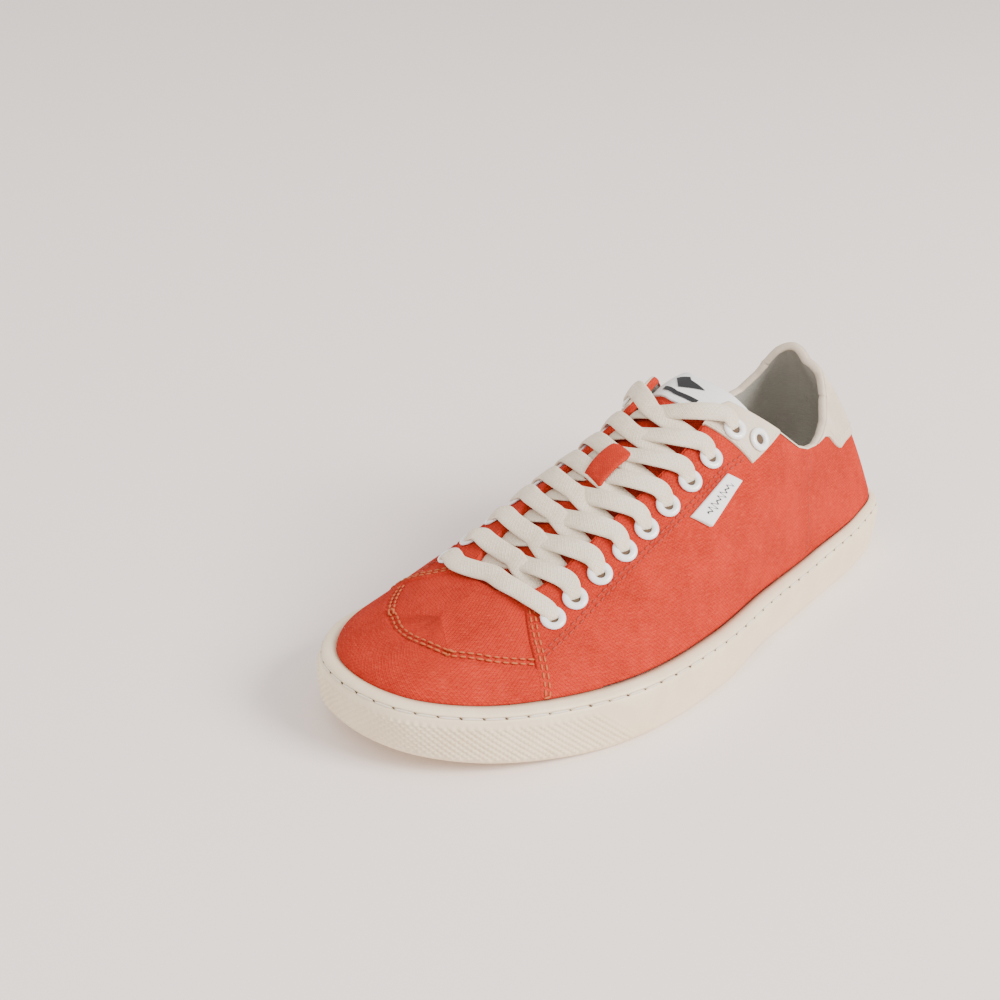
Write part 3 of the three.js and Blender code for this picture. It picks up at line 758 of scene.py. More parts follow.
class Scatter:
    """Instances of a small mesh on placed points, made real through a Geometry Nodes tree."""

    def __init__(self, skin: Skin) -> None:
        self.skin = skin
        self.tree = self._tree()

    @staticmethod
    def _tree() -> bpy.types.NodeTree:
        """Builds the tree: points with along and up directions carry copies of an object."""
        tree = bpy.data.node_groups.new("placed_copies", "GeometryNodeTree")
        face = tree.interface
        face.new_socket("Geometry", in_out="INPUT", socket_type="NodeSocketGeometry")
        face.new_socket("Copy", in_out="INPUT", socket_type="NodeSocketObject")
        face.new_socket("Scale", in_out="INPUT", socket_type="NodeSocketVector")
        face.new_socket("Jitter", in_out="INPUT", socket_type="NodeSocketFloat")
        face.new_socket("Seed", in_out="INPUT", socket_type="NodeSocketInt")
        face.new_socket("Material", in_out="INPUT", socket_type="NodeSocketMaterial")
        face.new_socket("Geometry", in_out="OUTPUT", socket_type="NodeSocketGeometry")
        g = Graph(tree)
        gi, go = g.node("NodeGroupInput"), g.node("NodeGroupOutput")
        src = {s.name: s for s in gi.outputs}
        info = g.node("GeometryNodeObjectInfo", transform_space="ORIGINAL")
        g.link(src["Copy"], info.inputs["Object"])
        put = g.node("GeometryNodeInstanceOnPoints")
        g.link(src["Geometry"], put.inputs["Points"])
        g.link(info.outputs["Geometry"], put.inputs["Instance"])
        along = g.node("GeometryNodeInputNamedAttribute", data_type="FLOAT_VECTOR")
        along.inputs["Name"].default_value = "run_along"
        up = g.node("GeometryNodeInputNamedAttribute", data_type="FLOAT_VECTOR")
        up.inputs["Name"].default_value = "run_up"
        a = g.node("FunctionNodeAlignRotationToVector", axis="X", pivot_axis="AUTO")
        b = g.node("FunctionNodeAlignRotationToVector", axis="Z", pivot_axis="X")
        g.link(along.outputs["Attribute"], a.inputs["Vector"])
        g.link(a.outputs["Rotation"], b.inputs["Rotation"])
        g.link(up.outputs["Attribute"], b.inputs["Vector"])
        g.link(b.outputs["Rotation"], put.inputs["Rotation"])
        rnd = g.node("FunctionNodeRandomValue", data_type="FLOAT")
        rnd.inputs[2].default_value = -1.0
        rnd.inputs[3].default_value = 1.0
        g.link(src["Seed"], rnd.inputs["Seed"])
        grow = g.node("ShaderNodeMath", operation="MULTIPLY_ADD")
        g.link(rnd.outputs[1], grow.inputs[0])
        g.link(src["Jitter"], grow.inputs[1])
        grow.inputs[2].default_value = 1.0
        size = g.node("ShaderNodeVectorMath", operation="SCALE")
        g.link(src["Scale"], size.inputs[0])
        g.link(grow.outputs[0], size.inputs["Scale"])
        g.link(size.outputs[0], put.inputs["Scale"])
        real = g.node("GeometryNodeRealizeInstances")
        g.link(put.outputs[0], real.inputs[0])
        mat = g.node("GeometryNodeSetMaterial")
        g.link(real.outputs[0], mat.inputs["Geometry"])
        g.link(src["Material"], mat.inputs["Material"])
        g.link(mat.outputs[0], go.inputs[0])
        return tree

    def copies(self, name: str, copy: bpy.types.Object, at: Array, along: Array, up: Array, finish: str,
               scale: tuple[float, float, float] = (1, 1, 1), jitter: float = 0.0, seed: int = 3) -> bpy.types.Object:
        """Copies of a small object as one real mesh.

        Args:
            name: Piece name.
            copy: The small object, in metres, with its x along the run and z up.
            at: Points in the last's frame.
            along: Directions of x.
            up: Directions of z.
            finish: Key of the finish.
            scale: Size of the copies.
            jitter: Share by which sizes vary.
            seed: Seed of the variation.

        Returns:
            The joined object.
        """
        me = bpy.data.meshes.new(name + "_points")
        me.from_pydata(self.skin.place(at).tolist(), [], [])
        for key, v in (("run_along", along), ("run_up", up)):
            layer = me.attributes.new(key, "FLOAT_VECTOR", "POINT")
            layer.data.foreach_set("vector", np.asarray(v, np.float32).ravel())
        obj = bpy.data.objects.new(name + "_points", me)
        bpy.context.scene.collection.objects.link(obj)
        mod = obj.modifiers.new("copies", "NODES")
        mod.node_group = self.tree
        ids = {s.name: s.identifier for s in self.tree.interface.items_tree if s.in_out == "INPUT"}
        mod[ids["Copy"]] = copy
        mod[ids["Scale"]] = scale
        mod[ids["Jitter"]] = float(jitter)
        mod[ids["Seed"]] = int(seed)
        mod[ids["Material"]] = self.skin.finishes.get(finish)
        obj.update_tag()
        dg = bpy.context.evaluated_depsgraph_get()
        dg.update()
        made = bpy.data.meshes.new_from_object(obj.evaluated_get(dg))
        made.name = name
        obj.modifiers.remove(mod)
        bpy.data.objects.remove(obj)
        out = bpy.data.objects.new(name, made)
        bpy.context.scene.collection.objects.link(out)
        if not made.materials:
            made.materials.append(self.skin.finishes.get(finish))
        if "cloth" not in made.uv_layers:
            made.uv_layers.new(name="cloth")
        for f in made.polygons:
            f.use_smooth = True
        return out


def ride(obj: bpy.types.Object, slot: str, *nodes: str) -> bpy.types.Object:
    """Ties a finished piece to the frame.

    Args:
        obj: The piece.
        slot: Material slot of the record.
        nodes: CAD nodes it stands for.

    Returns:
        The piece.
    """
    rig.ride(obj, "root")
    if nodes:
        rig.replaces(obj, *nodes)
    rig.slot(obj, slot)
    LOG.info("%s: %d faces", obj.name, len(obj.data.polygons))
    return obj


# ---- the parts of the shoe ----


@dataclass
class Sole:
    """Cup sole with a stitched lip, a wall textured round the toe and a grooved tread."""

    skin: Skin
    scatter: Scatter
    columns: int = 1400
    groove_below: float = 2.2
    texture_pitch: float = 2.9
    texture_height: float = 0.8
    stitch_pitch: float = 8.0
    tread_grooves: tuple = (20, 31, 42, 53, 75, 86, 161, 172, 183, 205, 216, 227, 238)

    def profile(self, t: Array) -> tuple[list[Array], list[Array]]:
        """Rings of the wall from the tread up over the lip to the canvas."""
        inset = LAST.inset(t)
        steps = [(4.2, 0.0, 0.0, 0), (2.9, 0.0, 0.25, 0), (2.0, 0.0, 0.8, 0), (1.4, 0.0, 1.6, 0)]
        wall = [(1.4 - 1.4 * math.sin(f * math.pi / 2) ** 0.7, f, 0.0, 1) for f in np.linspace(0.06, 0.97, 40)]
        lip = [
            (0.05, 1.0, -4.8, 0), (0.15, 1.0, -4.0, 0), (0.3, 1.0, -3.3, 0), (0.5, 1.0, -2.85, 0),
            (1.05, 1.0, -2.55, 0), (1.35, 1.0, -2.2, 0), (1.25, 1.0, -1.85, 0), (1.0, 1.0, -1.6, 0),
            (1.25, 1.0, -1.1, 0), (2.0, 1.0, -0.6, 0), (3.0, 1.0, -0.15, 0), (4.0, 1.0, 0.05, 0),
        ]
        zs, ps = [], []
        x_of = lambda ins: LAST.plan(t, ins)[0]
        for ins, share, dz, kind in steps + wall + lip:
            p = x_of(np.full_like(t, ins))
            a, b = LAST.tread(p[:, 0]), tab(LAST.sole_x, LAST.edge_z, p[:, 0])
            if kind == 1:
                z = (a + 1.8) + (b - 5.4 - a - 1.8) * share
                bulge = self.texture(t, z)
                p = x_of(np.full_like(t, ins) - bulge)
            else:
                z = a + (b - a) * share + dz
            ps.append(p)
            zs.append(z)
        for dz in (-0.1, -4.0):
            ps.append(x_of(inset - 0.3))
            zs.append(tab(LAST.sole_x, LAST.edge_z, ps[-1][:, 0]) + dz)
        return ps, zs

    def texture(self, t: Array, z: Array) -> Array:
        """Height of the diamond studs on the wall of the toe."""
        arc = self.arc(t)
        k = math.pi / self.texture_pitch
        studs = np.abs(np.sin((arc + 1.15 * z) * k)) * np.abs(np.sin((arc - 1.15 * z) * k))
        total = self.arc(np.array([0.4999]))[0] * 2
        from_toe = np.where(t < 0.5, total / 2 - arc, arc - total / 2)
        start = np.where(t < 0.5, 108 - 1.1 * (z - 8), 92 - 1.1 * (z - 8))
        reach = smoothstep(2.5, -2.5, from_toe - start)
        return self.texture_height * studs**0.8 * reach * smoothstep(1.0, 3.0, z)

    @staticmethod
    def arc(t: Array) -> Array:
        """Length round the outline up to t."""
        tt = np.linspace(0, 1, 2001)
        p = LAST.outline(tt)
        a = np.concatenate([[0], np.cumsum(np.linalg.norm(np.diff(p, axis=0), axis=1))])
        return np.interp(t, tt, a)

    def even(self, n: int) -> Array:
        """n places round the foot at even distances."""
        tt = np.linspace(0, 1, 2001)
        a = self.arc(tt)
        return np.interp(np.arange(n) / n * a[-1], a, tt)

    def build(self) -> None:
        """Builds the sole, its tread and its stitches."""
        t = self.even(self.columns)
        ps, zs = self.profile(t)
        p = np.stack([np.concatenate([q, z[:, None]], 1) for q, z in zip(ps, zs)])
        arc = np.broadcast_to(self.arc(t), p.shape[:2])
        uv = np.stack([arc, p[..., 2]], -1)
        wall = self.skin.grid("cup_sole", p, uv, "rubber", wrap=True)
        self.tread(t, p[0], wall)
        ride(wall, "sole_rubber", "outsole")
        self.stitches()

    def tread(self, t: Array, rim: Array, wall: bpy.types.Object) -> None:
        """Closes the sole underneath with a grooved tread, and inside under the insole."""
        n = len(t)
        half = n // 2
        left, right = rim[: half + 1], np.concatenate([rim[:1], rim[:half - 1:-1]])[: half + 1]
        f = np.linspace(0, 1, 25)[:, None, None]
        p = left[None] * (1 - f) + right[None] * f
        z = LAST.tread(p[..., 0])
        inside = smoothstep(0.0, 0.08, f[..., 0]) * smoothstep(1.0, 0.92, f[..., 0])
        cut = np.zeros_like(z)
        for x in self.tread_grooves:
            bend = x + 2.0 * np.sin(p[..., 1] / 5.0)
            cut = np.maximum(cut, smoothstep(1.7, 0.9, np.abs(p[..., 0] - bend)))
        p[..., 2] = z + 1.5 * cut * np.broadcast_to(inside, z.shape)
        uv = p[..., :2].copy()
        tread = self.skin.grid("tread", p, uv, "rubber")
        ride(tread, "sole_rubber")

    def stitches(self) -> None:
        """Thread in the groove of the lip, and dark beads painted as the shade inside its needle holes."""
        n = int(self.arc(np.array([0.99999]))[0] / self.stitch_pitch)
        t = self.even(n)
        pts, nrm, _ = LAST.plan(t, np.full_like(t, 1.0))
        z = tab(LAST.sole_x, LAST.edge_z, pts[:, 0]) - self.groove_below
        at = np.concatenate([pts, z[:, None]], 1)
        along = unit(np.roll(at, -1, 0) - np.roll(at, 1, 0))
        up = np.concatenate([nrm, np.zeros((n, 1))], 1)
        bead = Bead(self.skin).make("sole_bead")
        thread = self.scatter.copies("sole_thread", bead, at, along, up, "thread_pale", (3.6, 0.45, 0.4), 0.05)
        ride(thread, "sole_rubber")
        gap = 0.5 * (at + np.roll(at, -1, 0)) + up * 0.12
        slant = unit(along + np.array([0, 0, 0.8]))
        # Painted shade: dark beads between the stitches stand for the shade inside the needle holes.
        hole_shade_mesh = self.scatter.copies("sole_needle_holes", bead, gap, slant, up, "shadow", (0.62, 0.3, 0.24), 0.25, 5)
        ride(hole_shade_mesh, "sole_rubber")
        bpy.data.objects.remove(bead)


@dataclass
class Bead:
    """A small rounded bead of radius one millimetre, scaled into stitches."""

    skin: Skin
    rings: int = 6
    spokes: int = 8

    def make(self, name: str) -> bpy.types.Object:
        """The bead as an object that isn't shown in the scene."""
        verts = [(-0.001, 0, 0)]
        for i in range(1, self.rings):
            a = math.pi * i / self.rings
            r = math.sin(a) ** 0.7
            for j in range(self.spokes):
                b = 2 * math.pi * j / self.spokes
                verts.append((-0.001 * math.cos(a), 0.001 * r * math.cos(b), 0.001 * r * math.sin(b)))
        verts.append((0.001, 0, 0))
        last = len(verts) - 1
        k = self.spokes
        faces = [(0, 1 + (j + 1) % k, 1 + j) for j in range(k)]
        for i in range(self.rings - 2):
            for j in range(k):
                a, b = 1 + i * k + j, 1 + i * k + (j + 1) % k
                faces.append((a, b, b + k, a + k))
        base = 1 + (self.rings - 2) * k
        faces += [(last, base + j, base + (j + 1) % k) for j in range(k)]
        me = bpy.data.meshes.new(name)
        me.from_pydata(verts, [], faces)
        me.uv_layers.new(name="cloth")
        obj = bpy.data.objects.new(name, me)
        return obj


@dataclass
class Fold:
    """A soft trough or ridge on one side of the canvas, by its ends in x and z."""

    side: Side
    start: tuple[float, float]
    end: tuple[float, float]
    width: float
    depth: float

    def height(self, p: Array) -> Array:
        """Extra height of the canvas at points p."""
        a, b = np.array(self.start), np.array(self.end)
        q = p[..., [0, 2]] - a
        d = b - a
        length = np.linalg.norm(d)
        u = (q @ d) / length**2
        v = np.abs(q[..., 0] * d[1] - q[..., 1] * d[0]) / length
        ends = smoothstep(-0.25, 0.2, u) * smoothstep(1.25, 0.8, u)
        on = smoothstep(-6, 6, (p[..., 1] + 4) * self.side.value)
        return self.depth * np.exp(-((v / self.width) ** 2)) * ends * on


@dataclass
class Upper:
    """Canvas vamp, toe cap and quarters with their lining, rim and seams."""

    skin: Skin
    scatter: Scatter
    rows: int = 74
    quarter_lift: float = 0.75
    cap_lift: float = 0.55
    quarter_front: dict = field(default_factory=lambda: {
        Side.OUTER: ((225.8, 13.6), (227.6, 17.6), (230.5, 21), (234.6, 26.6), (237.9, 32.4), (243.3, 40.3), (244.8, 43)),
        Side.INNER: ((226, -14), (228.7, -17.6), (235.1, -26.9), (239.3, -39.7), (240, -42)),
    })
    cap_seam: tuple = (
        (239.4, 34.4), (249.6, 26.6), (259.5, 16.6), (265, 3.5), (262.8, -15), (256, -25), (241, -35),
    )
    folds: tuple = (
        Fold(Side.OUTER, (72, 52), (100, 42), 4.0, -0.7), Fold(Side.OUTER, (80, 58), (104, 50), 3.2, 0.5),
        Fold(Side.OUTER, (92, 62), (120, 44), 6.0, -0.6), Fold(Side.OUTER, (130, 52), (170, 36), 7.0, -0.55),
        Fold(Side.OUTER, (150, 58), (186, 44), 6.0, 0.45), Fold(Side.OUTER, (196, 38), (222, 30), 6.0, -0.5),
        Fold(Side.OUTER, (60, 44), (88, 30), 6.0, 0.45), Fold(Side.OUTER, (104, 70), (112, 40), 5.0, -0.4),
        Fold(Side.INNER, (74, 56), (104, 44), 5.0, -0.7), Fold(Side.INNER, (120, 60), (160, 40), 8.0, -0.6),
        Fold(Side.INNER, (170, 50), (205, 36), 7.0, -0.5), Fold(Side.INNER, (90, 40), (120, 32), 6.0, 0.4),
        Fold(Side.OUTER, (244, 36), (262, 33), 4.0, -0.3), Fold(Side.INNER, (244, 38), (262, 33), 4.0, -0.3),
    )

    def relief(self, p: Array) -> Array:
        """Height of the folds and of the canvas's slight waviness."""
        h = sum(f.height(p) for f in self.folds)
        wave = (0.14 * np.sin(p[..., 0] / 9.0 + 1.3 * np.sin(p[..., 2] / 11.0))
                * np.sin(p[..., 1] / 10.0 + p[..., 2] / 13.0))
        return h + wave

    def front(self, side: Side) -> tuple[Array, Array]:
        """The front edge of a quarter as climb and t, by growing climb."""
        pts = [LAST.locate(*q) for q in self.quarter_front[side]]
        s = np.array([1 - abs(c) for _, c in pts])
        w = np.array([w for w, _ in pts])
        k = np.argsort(s)
        s, w = s[k], w[k]
        t = w if side is Side.OUTER else 1 - w
        return s, t

    def quarter(self, side: Side) -> None:
        """One side of the canvas from its front edge to the middle of the heel."""
        s0, t0 = self.front(side)
        cols = 330
        v = np.linspace(0, 1, self.rows)[:, None]
        u = np.linspace(0, 1, cols)[None, :]
        heel = 0.0 if side is Side.OUTER else 1.0
        t = np.broadcast_to(t0[0] + (heel - t0[0]) * u, (self.rows, cols)).copy()
        for _ in range(6):
            top = np.interp(t, *self.top_table)
            s = v * np.minimum(top, 0.985)
            edge = np.interp(s, s0, t0)
            t = edge + (heel - edge) * u
        low = np.where(s < 0.02, -0.3, 0.0)
        top_h = self.quarter_lift * np.ones_like(t) + low
        obj = self.skin.sheet(f"quarter_{side.name.lower()}", t, s, top_h, -0.9, "canvas", self.relief)
        ride(obj, "canvas")

    @property
    def top_table(self) -> tuple[Array, Array]:
        """Rim by t, read once and kept."""
        if not hasattr(self, "_top"):
            tt = np.linspace(0, 1, 2401)
            self._top = (tt, LAST.top(tt))
        return self._top

    def vamp(self) -> None:
        """The canvas from the throat to the toe, with the raised toe cap."""
        cols, rows = 420, 110
        t = np.linspace(0.325, 0.675, cols)[None, :]
        v = np.linspace(0, 1, rows)[:, None]
        top = np.interp(t, *self.top_table)
        t, s = np.broadcast_arrays(t, v * top)
        p = LAST.point(t, s)
        n = LAST.normal(t, s)
        cap = self.cap_height(p)
        h = cap + self.relief(p)
        pts = p + n * h[..., None]
        uv = self.skin.cloth_uv(np.asarray(t), p)
        inner = p - n * 1.6
        full = np.concatenate([inner[:1], pts, np.where((top < 0.999)[..., None], inner[-1:], pts[-1:])], 0)
        uv = np.concatenate([uv[:1], uv, uv[-1:]], 0)
        obj = self.skin.grid("vamp", full, uv, "canvas")
        ride(obj, "canvas", "upper")

    def cap_height(self, p: Array) -> Array:
        """Height of the toe cap, raised outside its seam."""
        seam = np.array(self.cap_seam)
        ang = np.arctan2(seam[:, 1] + 2, seam[:, 0] - 232)
        rad = np.hypot(seam[:, 1] + 2, seam[:, 0] - 232)
        k = np.argsort(ang)
        a = np.arctan2(p[..., 1] + 2, p[..., 0] - 232)
        r = np.hypot(p[..., 1] + 2, p[..., 0] - 232)
        rr = tab(ang[k], rad[k], a)
        return self.cap_lift * smoothstep(-0.35, 0.35, r - rr)

    def lining(self) -> None:
        """The lining inside, from the insole to the rim."""
        cols, rows = 360, 40
        t = np.linspace(0, 1, cols)[None, :]
        top = np.minimum(np.interp(t, *self.top_table), 0.985)
        v = np.linspace(0, 1, rows)[:, None]
        t, s = np.broadcast_arrays(t, v * top)
        seam = -0.5 * np.exp(-((np.minimum(t, 1 - t) / 0.003) ** 2))
        p = LAST.off(t, s, -2.0 + seam * 0.6)
        foot, _, _ = LAST.plan(t[0], LAST.inset(t[0]) + 2.0)
        base = np.concatenate([foot, (tab(LAST.sole_x, LAST.floor_z, foot[:, 0]) + 3.5)[:, None]], 1)
        p = np.concatenate([base[None], p], 0)
        uv = self.skin.cloth_uv(np.concatenate([t[:1], t], 0), p)
        obj = self.skin.grid("lining", p, uv, "lining")
        ride(obj, "canvas")

    def rim_curve(self, a: float, b: float, n: int) -> tuple[Array, Array, Array]:
        """Places along the rim: t, climb and the outward normal."""
        t = np.linspace(a, b, n)
        s = np.interp(np.mod(t, 1), *self.top_table)
        return t, s, LAST.normal(t, s)

    def rim(self, name: str, a: float, b: float, finish: str, out: float, radius: float, slot: str) -> None:
        """A rolled edge over the rim.

        Args:
            name: Piece name.
            a: First t.
            b: Last t.
            finish: Key of the finish.
            out: How far its outer foot stands off the last.
            radius: Height of the roll over the edge.
            slot: Material slot.
        """
        n = 500
        t, s, nn = self.rim_curve(a, b, n)
        p = LAST.point(t, s)
        along = unit(np.gradient(p, axis=0))
        up = unit(np.cross(along, nn) * (1 if b > a else -1))
        up = np.where((up[:, 2:3] < 0) & (np.abs(up[:, 2:3]) > 0.3), -up, up)
        ang = np.linspace(-0.35, math.pi + 0.35, 13)
        mid, half = (out - 2.3) / 2, (out + 2.3) / 2
        rows = [p + nn * (mid + half * math.cos(q)) + up * (radius * math.sin(q)) for q in ang]
        grid = np.stack(rows)
        arc = np.concatenate([[0], np.cumsum(np.linalg.norm(np.diff(p, axis=0), axis=1))])
        uv = np.stack([np.broadcast_to(arc, grid.shape[:2]),
                       np.broadcast_to((ang * 1.5)[:, None], grid.shape[:2])], -1)
        ride(self.skin.grid(name, grid, uv, finish), slot)

    def build(self) -> None:
        """Builds the canvas, the lining and the rims."""
        self.vamp()
        for side in Side:
            self.quarter(side)
        self.lining()
        a, b = LAST.locate(104, 28)[0], 1 - LAST.locate(104, -28)[0]
        self.rim("collar_rim", b - 1, a, "leather", 1.0, 0.9, "leather")
        for side in Side:
            edge = LAST.locate(229, 10 if side is Side.OUTER else -12)[0]
            back = a if side is Side.OUTER else 1 - b
            lo, hi = (back, edge) if side is Side.OUTER else (1 - edge, 1 - back)
            self.rim(f"facing_edge_{side.name.lower()}", lo, hi, "canvas", 0.8, 0.55, "canvas")


@dataclass
class Seams:
    """Rows of stitches laid on the canvas and trim."""

    skin: Skin
    scatter: Scatter
    upper: Upper

    def run(self, name: str, places: Sequence[tuple[float, float]], finish: str, slot: str, lift: float = 0.9,
            offsets: Sequence[float] = (0.0,), length: float = 2.3, gap: float = 0.7, width: float = 0.42,
            closed: bool = False) -> None:
        """Stitches along a curve given by plan points.

        Args:
            name: Piece name.
            places: Plan points, x and y.
            finish: Key of the finish.
            slot: Material slot.
            lift: Height off the last.
            offsets: Sideways moves of each row of stitches.
            length: Length of a stitch.
            gap: Gap between stitches.
            width: Thickness of the thread.
            closed: Whether the curve passes over the toe, where ribs and shares jump.
        """
        wc = np.array([LAST.locate(*q) for q in places])
        if closed:
            wc = np.stack(LAST.ts(wc[:, 0], wc[:, 1]), 1)
        self.run_wc(name, wc, finish, slot, lift, offsets, length, gap, width, closed)

    def run_wc(self, name: str, wc: Array, finish: str, slot: str, lift: float = 0.9,
               offsets: Sequence[float] = (0.0,), length: float = 2.3, gap: float = 0.7,
               width: float = 0.42, over_toe: bool = False) -> None:
        """Stitches along a curve given by ribs and shares, or by t and climb over the toe; see run."""
        k = np.arange(len(wc))
        f = np.linspace(0, len(wc) - 1, 400)
        w, c = tab(k, wc[:, 0], f), tab(k, wc[:, 1], f)
        t, s = (w, c) if over_toe else LAST.ts(w, c)
        s = np.clip(s, 0.0, 1.0)
        p = LAST.point(t, s)
        n = LAST.normal(t, s)
        lift = (lift + self.upper.relief(p))[:, None]
        d = unit(np.gradient(p, axis=0))
        side = unit(np.cross(n, d))
        at, along, up = [], [], []
        for off in offsets:
            q = p + side * off + n * lift
            arc = np.concatenate([[0], np.cumsum(np.linalg.norm(np.diff(q, axis=0), axis=1))])
            m = max(int(arc[-1] / (length + gap)), 1)
            a = (np.arange(m) + 0.5) / m * arc[-1]
            pick = lambda v: np.stack([np.interp(a, arc, v[:, i]) for i in range(3)], 1)
            at.append(pick(q))
            along.append(pick(d))
            up.append(pick(n))
        bead = Bead(self.skin).make(name + "_bead")
        obj = self.scatter.copies(name, bead, np.concatenate(at), unit(np.concatenate(along)),
                                  unit(np.concatenate(up)), finish, (length / 2, width, width * 0.8), 0.1, len(name))
        bpy.data.objects.remove(bead)
        ride(obj, slot)

    def build(self) -> None:
        """All seams of the canvas."""
        upper = self.upper
        eyestay = ((234.1, 33.1), (226, 33), (205.6, 32.7), (184, 32.7), (161.7, 32.7), (138, 31.6), (124, 31.7))
        self.run("eyestay_seam_outer", eyestay, "thread_red", "canvas", 0.85, (-0.9, 0.9))
        inner = ((236, -32.5), (226, -32.5), (205, -32), (184, -31.5), (162, -31), (137, -30.2), (122, -30.5))
        self.run("eyestay_seam_inner", inner, "thread_red", "canvas", 0.85, (-0.9, 0.9))
        for side in Side:
            s, t = upper.front(side)
            w = t if side is Side.OUTER else 1 - t
            c = (1 - s) * side.value
            wc = np.stack([w - 0.0042, c], 1)[::-1]
            self.run_wc(f"front_seam_{side.name.lower()}", wc, "thread", "canvas", 0.9, (-0.8, 0.9))
        self.run("cap_seam", upper.cap_seam, "thread", "canvas", 0.6, (-1.5, -3.3), closed=True)
        counter = ((68.6, 27), (73, 30.2), (77.3, 34), (79, 35.8), (80, 38))
        self.run("counter_seam_outer", counter, "thread_red", "canvas", 0.7, (0.0,))
        counter_in = ((71.6, -31.5), (75.3, -33), (78.2, -34.2), (79.8, -35.2))
        self.run("counter_seam_inner", counter_in, "thread_red", "canvas", 0.7, (0.0,))


@dataclass
class Tongue:
    """Padded tongue with its label and the loop that holds the laces."""

    skin: Skin
    scatter: Scatter
    ribs: tuple[float, float] = (0.174, 0.398)
    thick: float = 2.4

    def half(self, v: Array) -> Array:
        """Half width as a share of the rib."""
        return tab((0, 0.25, 0.6, 1), (0.7, 0.7, 0.7, 0.6), v)

    def drop(self, v: Array, c: Array) -> Array:
        """Depth of its upper face under the last."""
        sink = tab((0, 0.12, 0.3, 0.7, 1), (3.4, 2.2, 1.2, 0.6, 0.2), v) * np.maximum(1 - (c / 0.7) ** 2, 0)
        return 2.7 + sink

    def place(self, u: Array, v: Array) -> tuple[Array, Array]:
        """Rib and share at u across and v along."""
        w = self.ribs[0] + (self.ribs[1] - self.ribs[0]) * v
        return w + 0.009 * (1 - (2 * u - 1) ** 2) * (1 - v) ** 3, (2 * u - 1) * self.half(v)

    def at(self, u: Array, v: Array, height: Array | float) -> Array:
        """Points over the tongue's upper face."""
        w, c = self.place(u, v)
        return LAST.across(w, c, height - self.drop(v, c))

    def body(self) -> None:
        """The tongue itself as a closed padded sheet."""
        cols, rows = 90, 170
        v = np.linspace(0, 1, rows)[:, None]
        loop_u, loop_h = [], []
        for k in range(cols):
            loop_u.append(k / (cols - 1)), loop_h.append(0.0)
        for k in range(cols):
            loop_u.append(1 - k / (cols - 1)), loop_h.append(-self.thick)
        u = np.array(loop_u)[None, :]
        h = np.array(loop_h)[None, :]
        edge = np.minimum(np.minimum(u, 1 - u) / 0.03, 1)
        end = np.minimum(np.minimum(v, 1 - v) / 0.012, 1)
        soft = np.sqrt(np.clip(edge * (2 - edge), 0, 1)) * np.sqrt(np.clip(end * (2 - end), 0, 1))
        mid = -self.thick / 2
        h = mid + (h - mid) * (0.25 + 0.75 * soft)
        v, u, h = np.broadcast_arrays(v, u, h)
        wrinkle = 0.25 * np.sin(v * 46 + 2 * np.sin(u * 5)) * smoothstep(0.15, 0.3, v)
        p = self.at(u, v, h + np.where(h > mid, wrinkle, 0))
        uv = self.skin.cloth_uv(v, p)
        obj = self.skin.grid("tongue_pad", p, uv, "canvas", wrap=True)
        self.cap(obj)
        ride(obj, "canvas", "tongue")

    @staticmethod
    def cap(obj: bpy.types.Object) -> None:
        """Closes the open ends of a tube-like piece."""
        bm = bmesh.new()
        bm.from_mesh(obj.data)
        edges = [e for e in bm.edges if e.is_boundary]
        if edges:
            bmesh.ops.holes_fill(bm, edges=edges, sides=0)
        bmesh.ops.recalc_face_normals(bm, faces=bm.faces)
        bm.to_mesh(obj.data)
        bm.free()

    def label(self) -> None:
        """The white label at its top end, with a plain printed mark."""
        u = np.linspace(0.22, 0.74, 60)[None, :]
        v = np.linspace(0.012, 0.142, 40)[:, None]
        self.patch("label_cloth", u, v, 0.9, 0.05, "label", "label", "tongue_label")
        mark = MarkShape()
        verts, faces, uv = [], [], []
        for quad in mark.quads():
            base = len(verts)
            for a, b in quad:
                uu, vv = 0.22 + 0.52 * a, 0.012 + 0.13 * b
                verts.append(self.at(np.array(uu), np.array(vv), 1.2))
                uv.append((a * 50, b * 30))
            faces.append(tuple(range(base, base + len(quad))))
        obj = self.skin.mesh("label_print", np.array(verts), faces, np.array(uv), "ink")
        ride(obj, "label")

    def patch(self, name: str, u: Array, v: Array, high: float, low: float, finish: str, slot: str,
              *nodes: str) -> None:
        """A thin sheet on the tongue."""
        u, v = np.broadcast_arrays(u, v)
        up, vp = np.pad(u, 1, mode="edge"), np.pad(v, 1, mode="edge")
        h = np.full(up.shape, low)
        h[1:-1, 1:-1] = high
        p = self.at(up, vp, h)
        uv = np.stack([up * 60, vp * 150], -1)
        ride(self.skin.grid(name, p, uv, finish), slot, *nodes)

    def keeper(self) -> None:
        """The canvas loop over the crossing laces."""
        v = np.linspace(0, 1, 60)[:, None]
        u = np.linspace(0, 1, 24)[None, :]
        w = 0.253 + 0.028 * v + 0 * u
        c = 0.03 + 0.056 * (2 * u - 1) + 0 * v
        tv = (w - self.ribs[0]) / (self.ribs[1] - self.ribs[0])
        arch = 4.6 * np.sin(np.pi * np.clip(v * 1.04 - 0.02, 0, 1)) ** 0.28
        edge = np.minimum(np.minimum(u, 1 - u) / 0.06, 1)
        high = LAST.across(w, c, arch + 0.9 * edge - self.drop(tv, c))
        low = LAST.across(w, c, arch - 0.1 - self.drop(tv, c))
        p = np.concatenate([high, low[:, ::-1]], 1)
        uv = np.stack([np.broadcast_to(np.linspace(0, 30, p.shape[1]), p.shape[:2]),
                       np.broadcast_to((v * 34), p.shape[:2])], -1)
        obj = self.skin.grid("keeper_strap", p, uv, "canvas", wrap=True)
        self.cap(obj)
        ride(obj, "canvas", "lace_keeper")

    def build(self) -> None:
        """Builds the tongue, label and loop."""
        self.body()
        self.label()
        self.keeper()


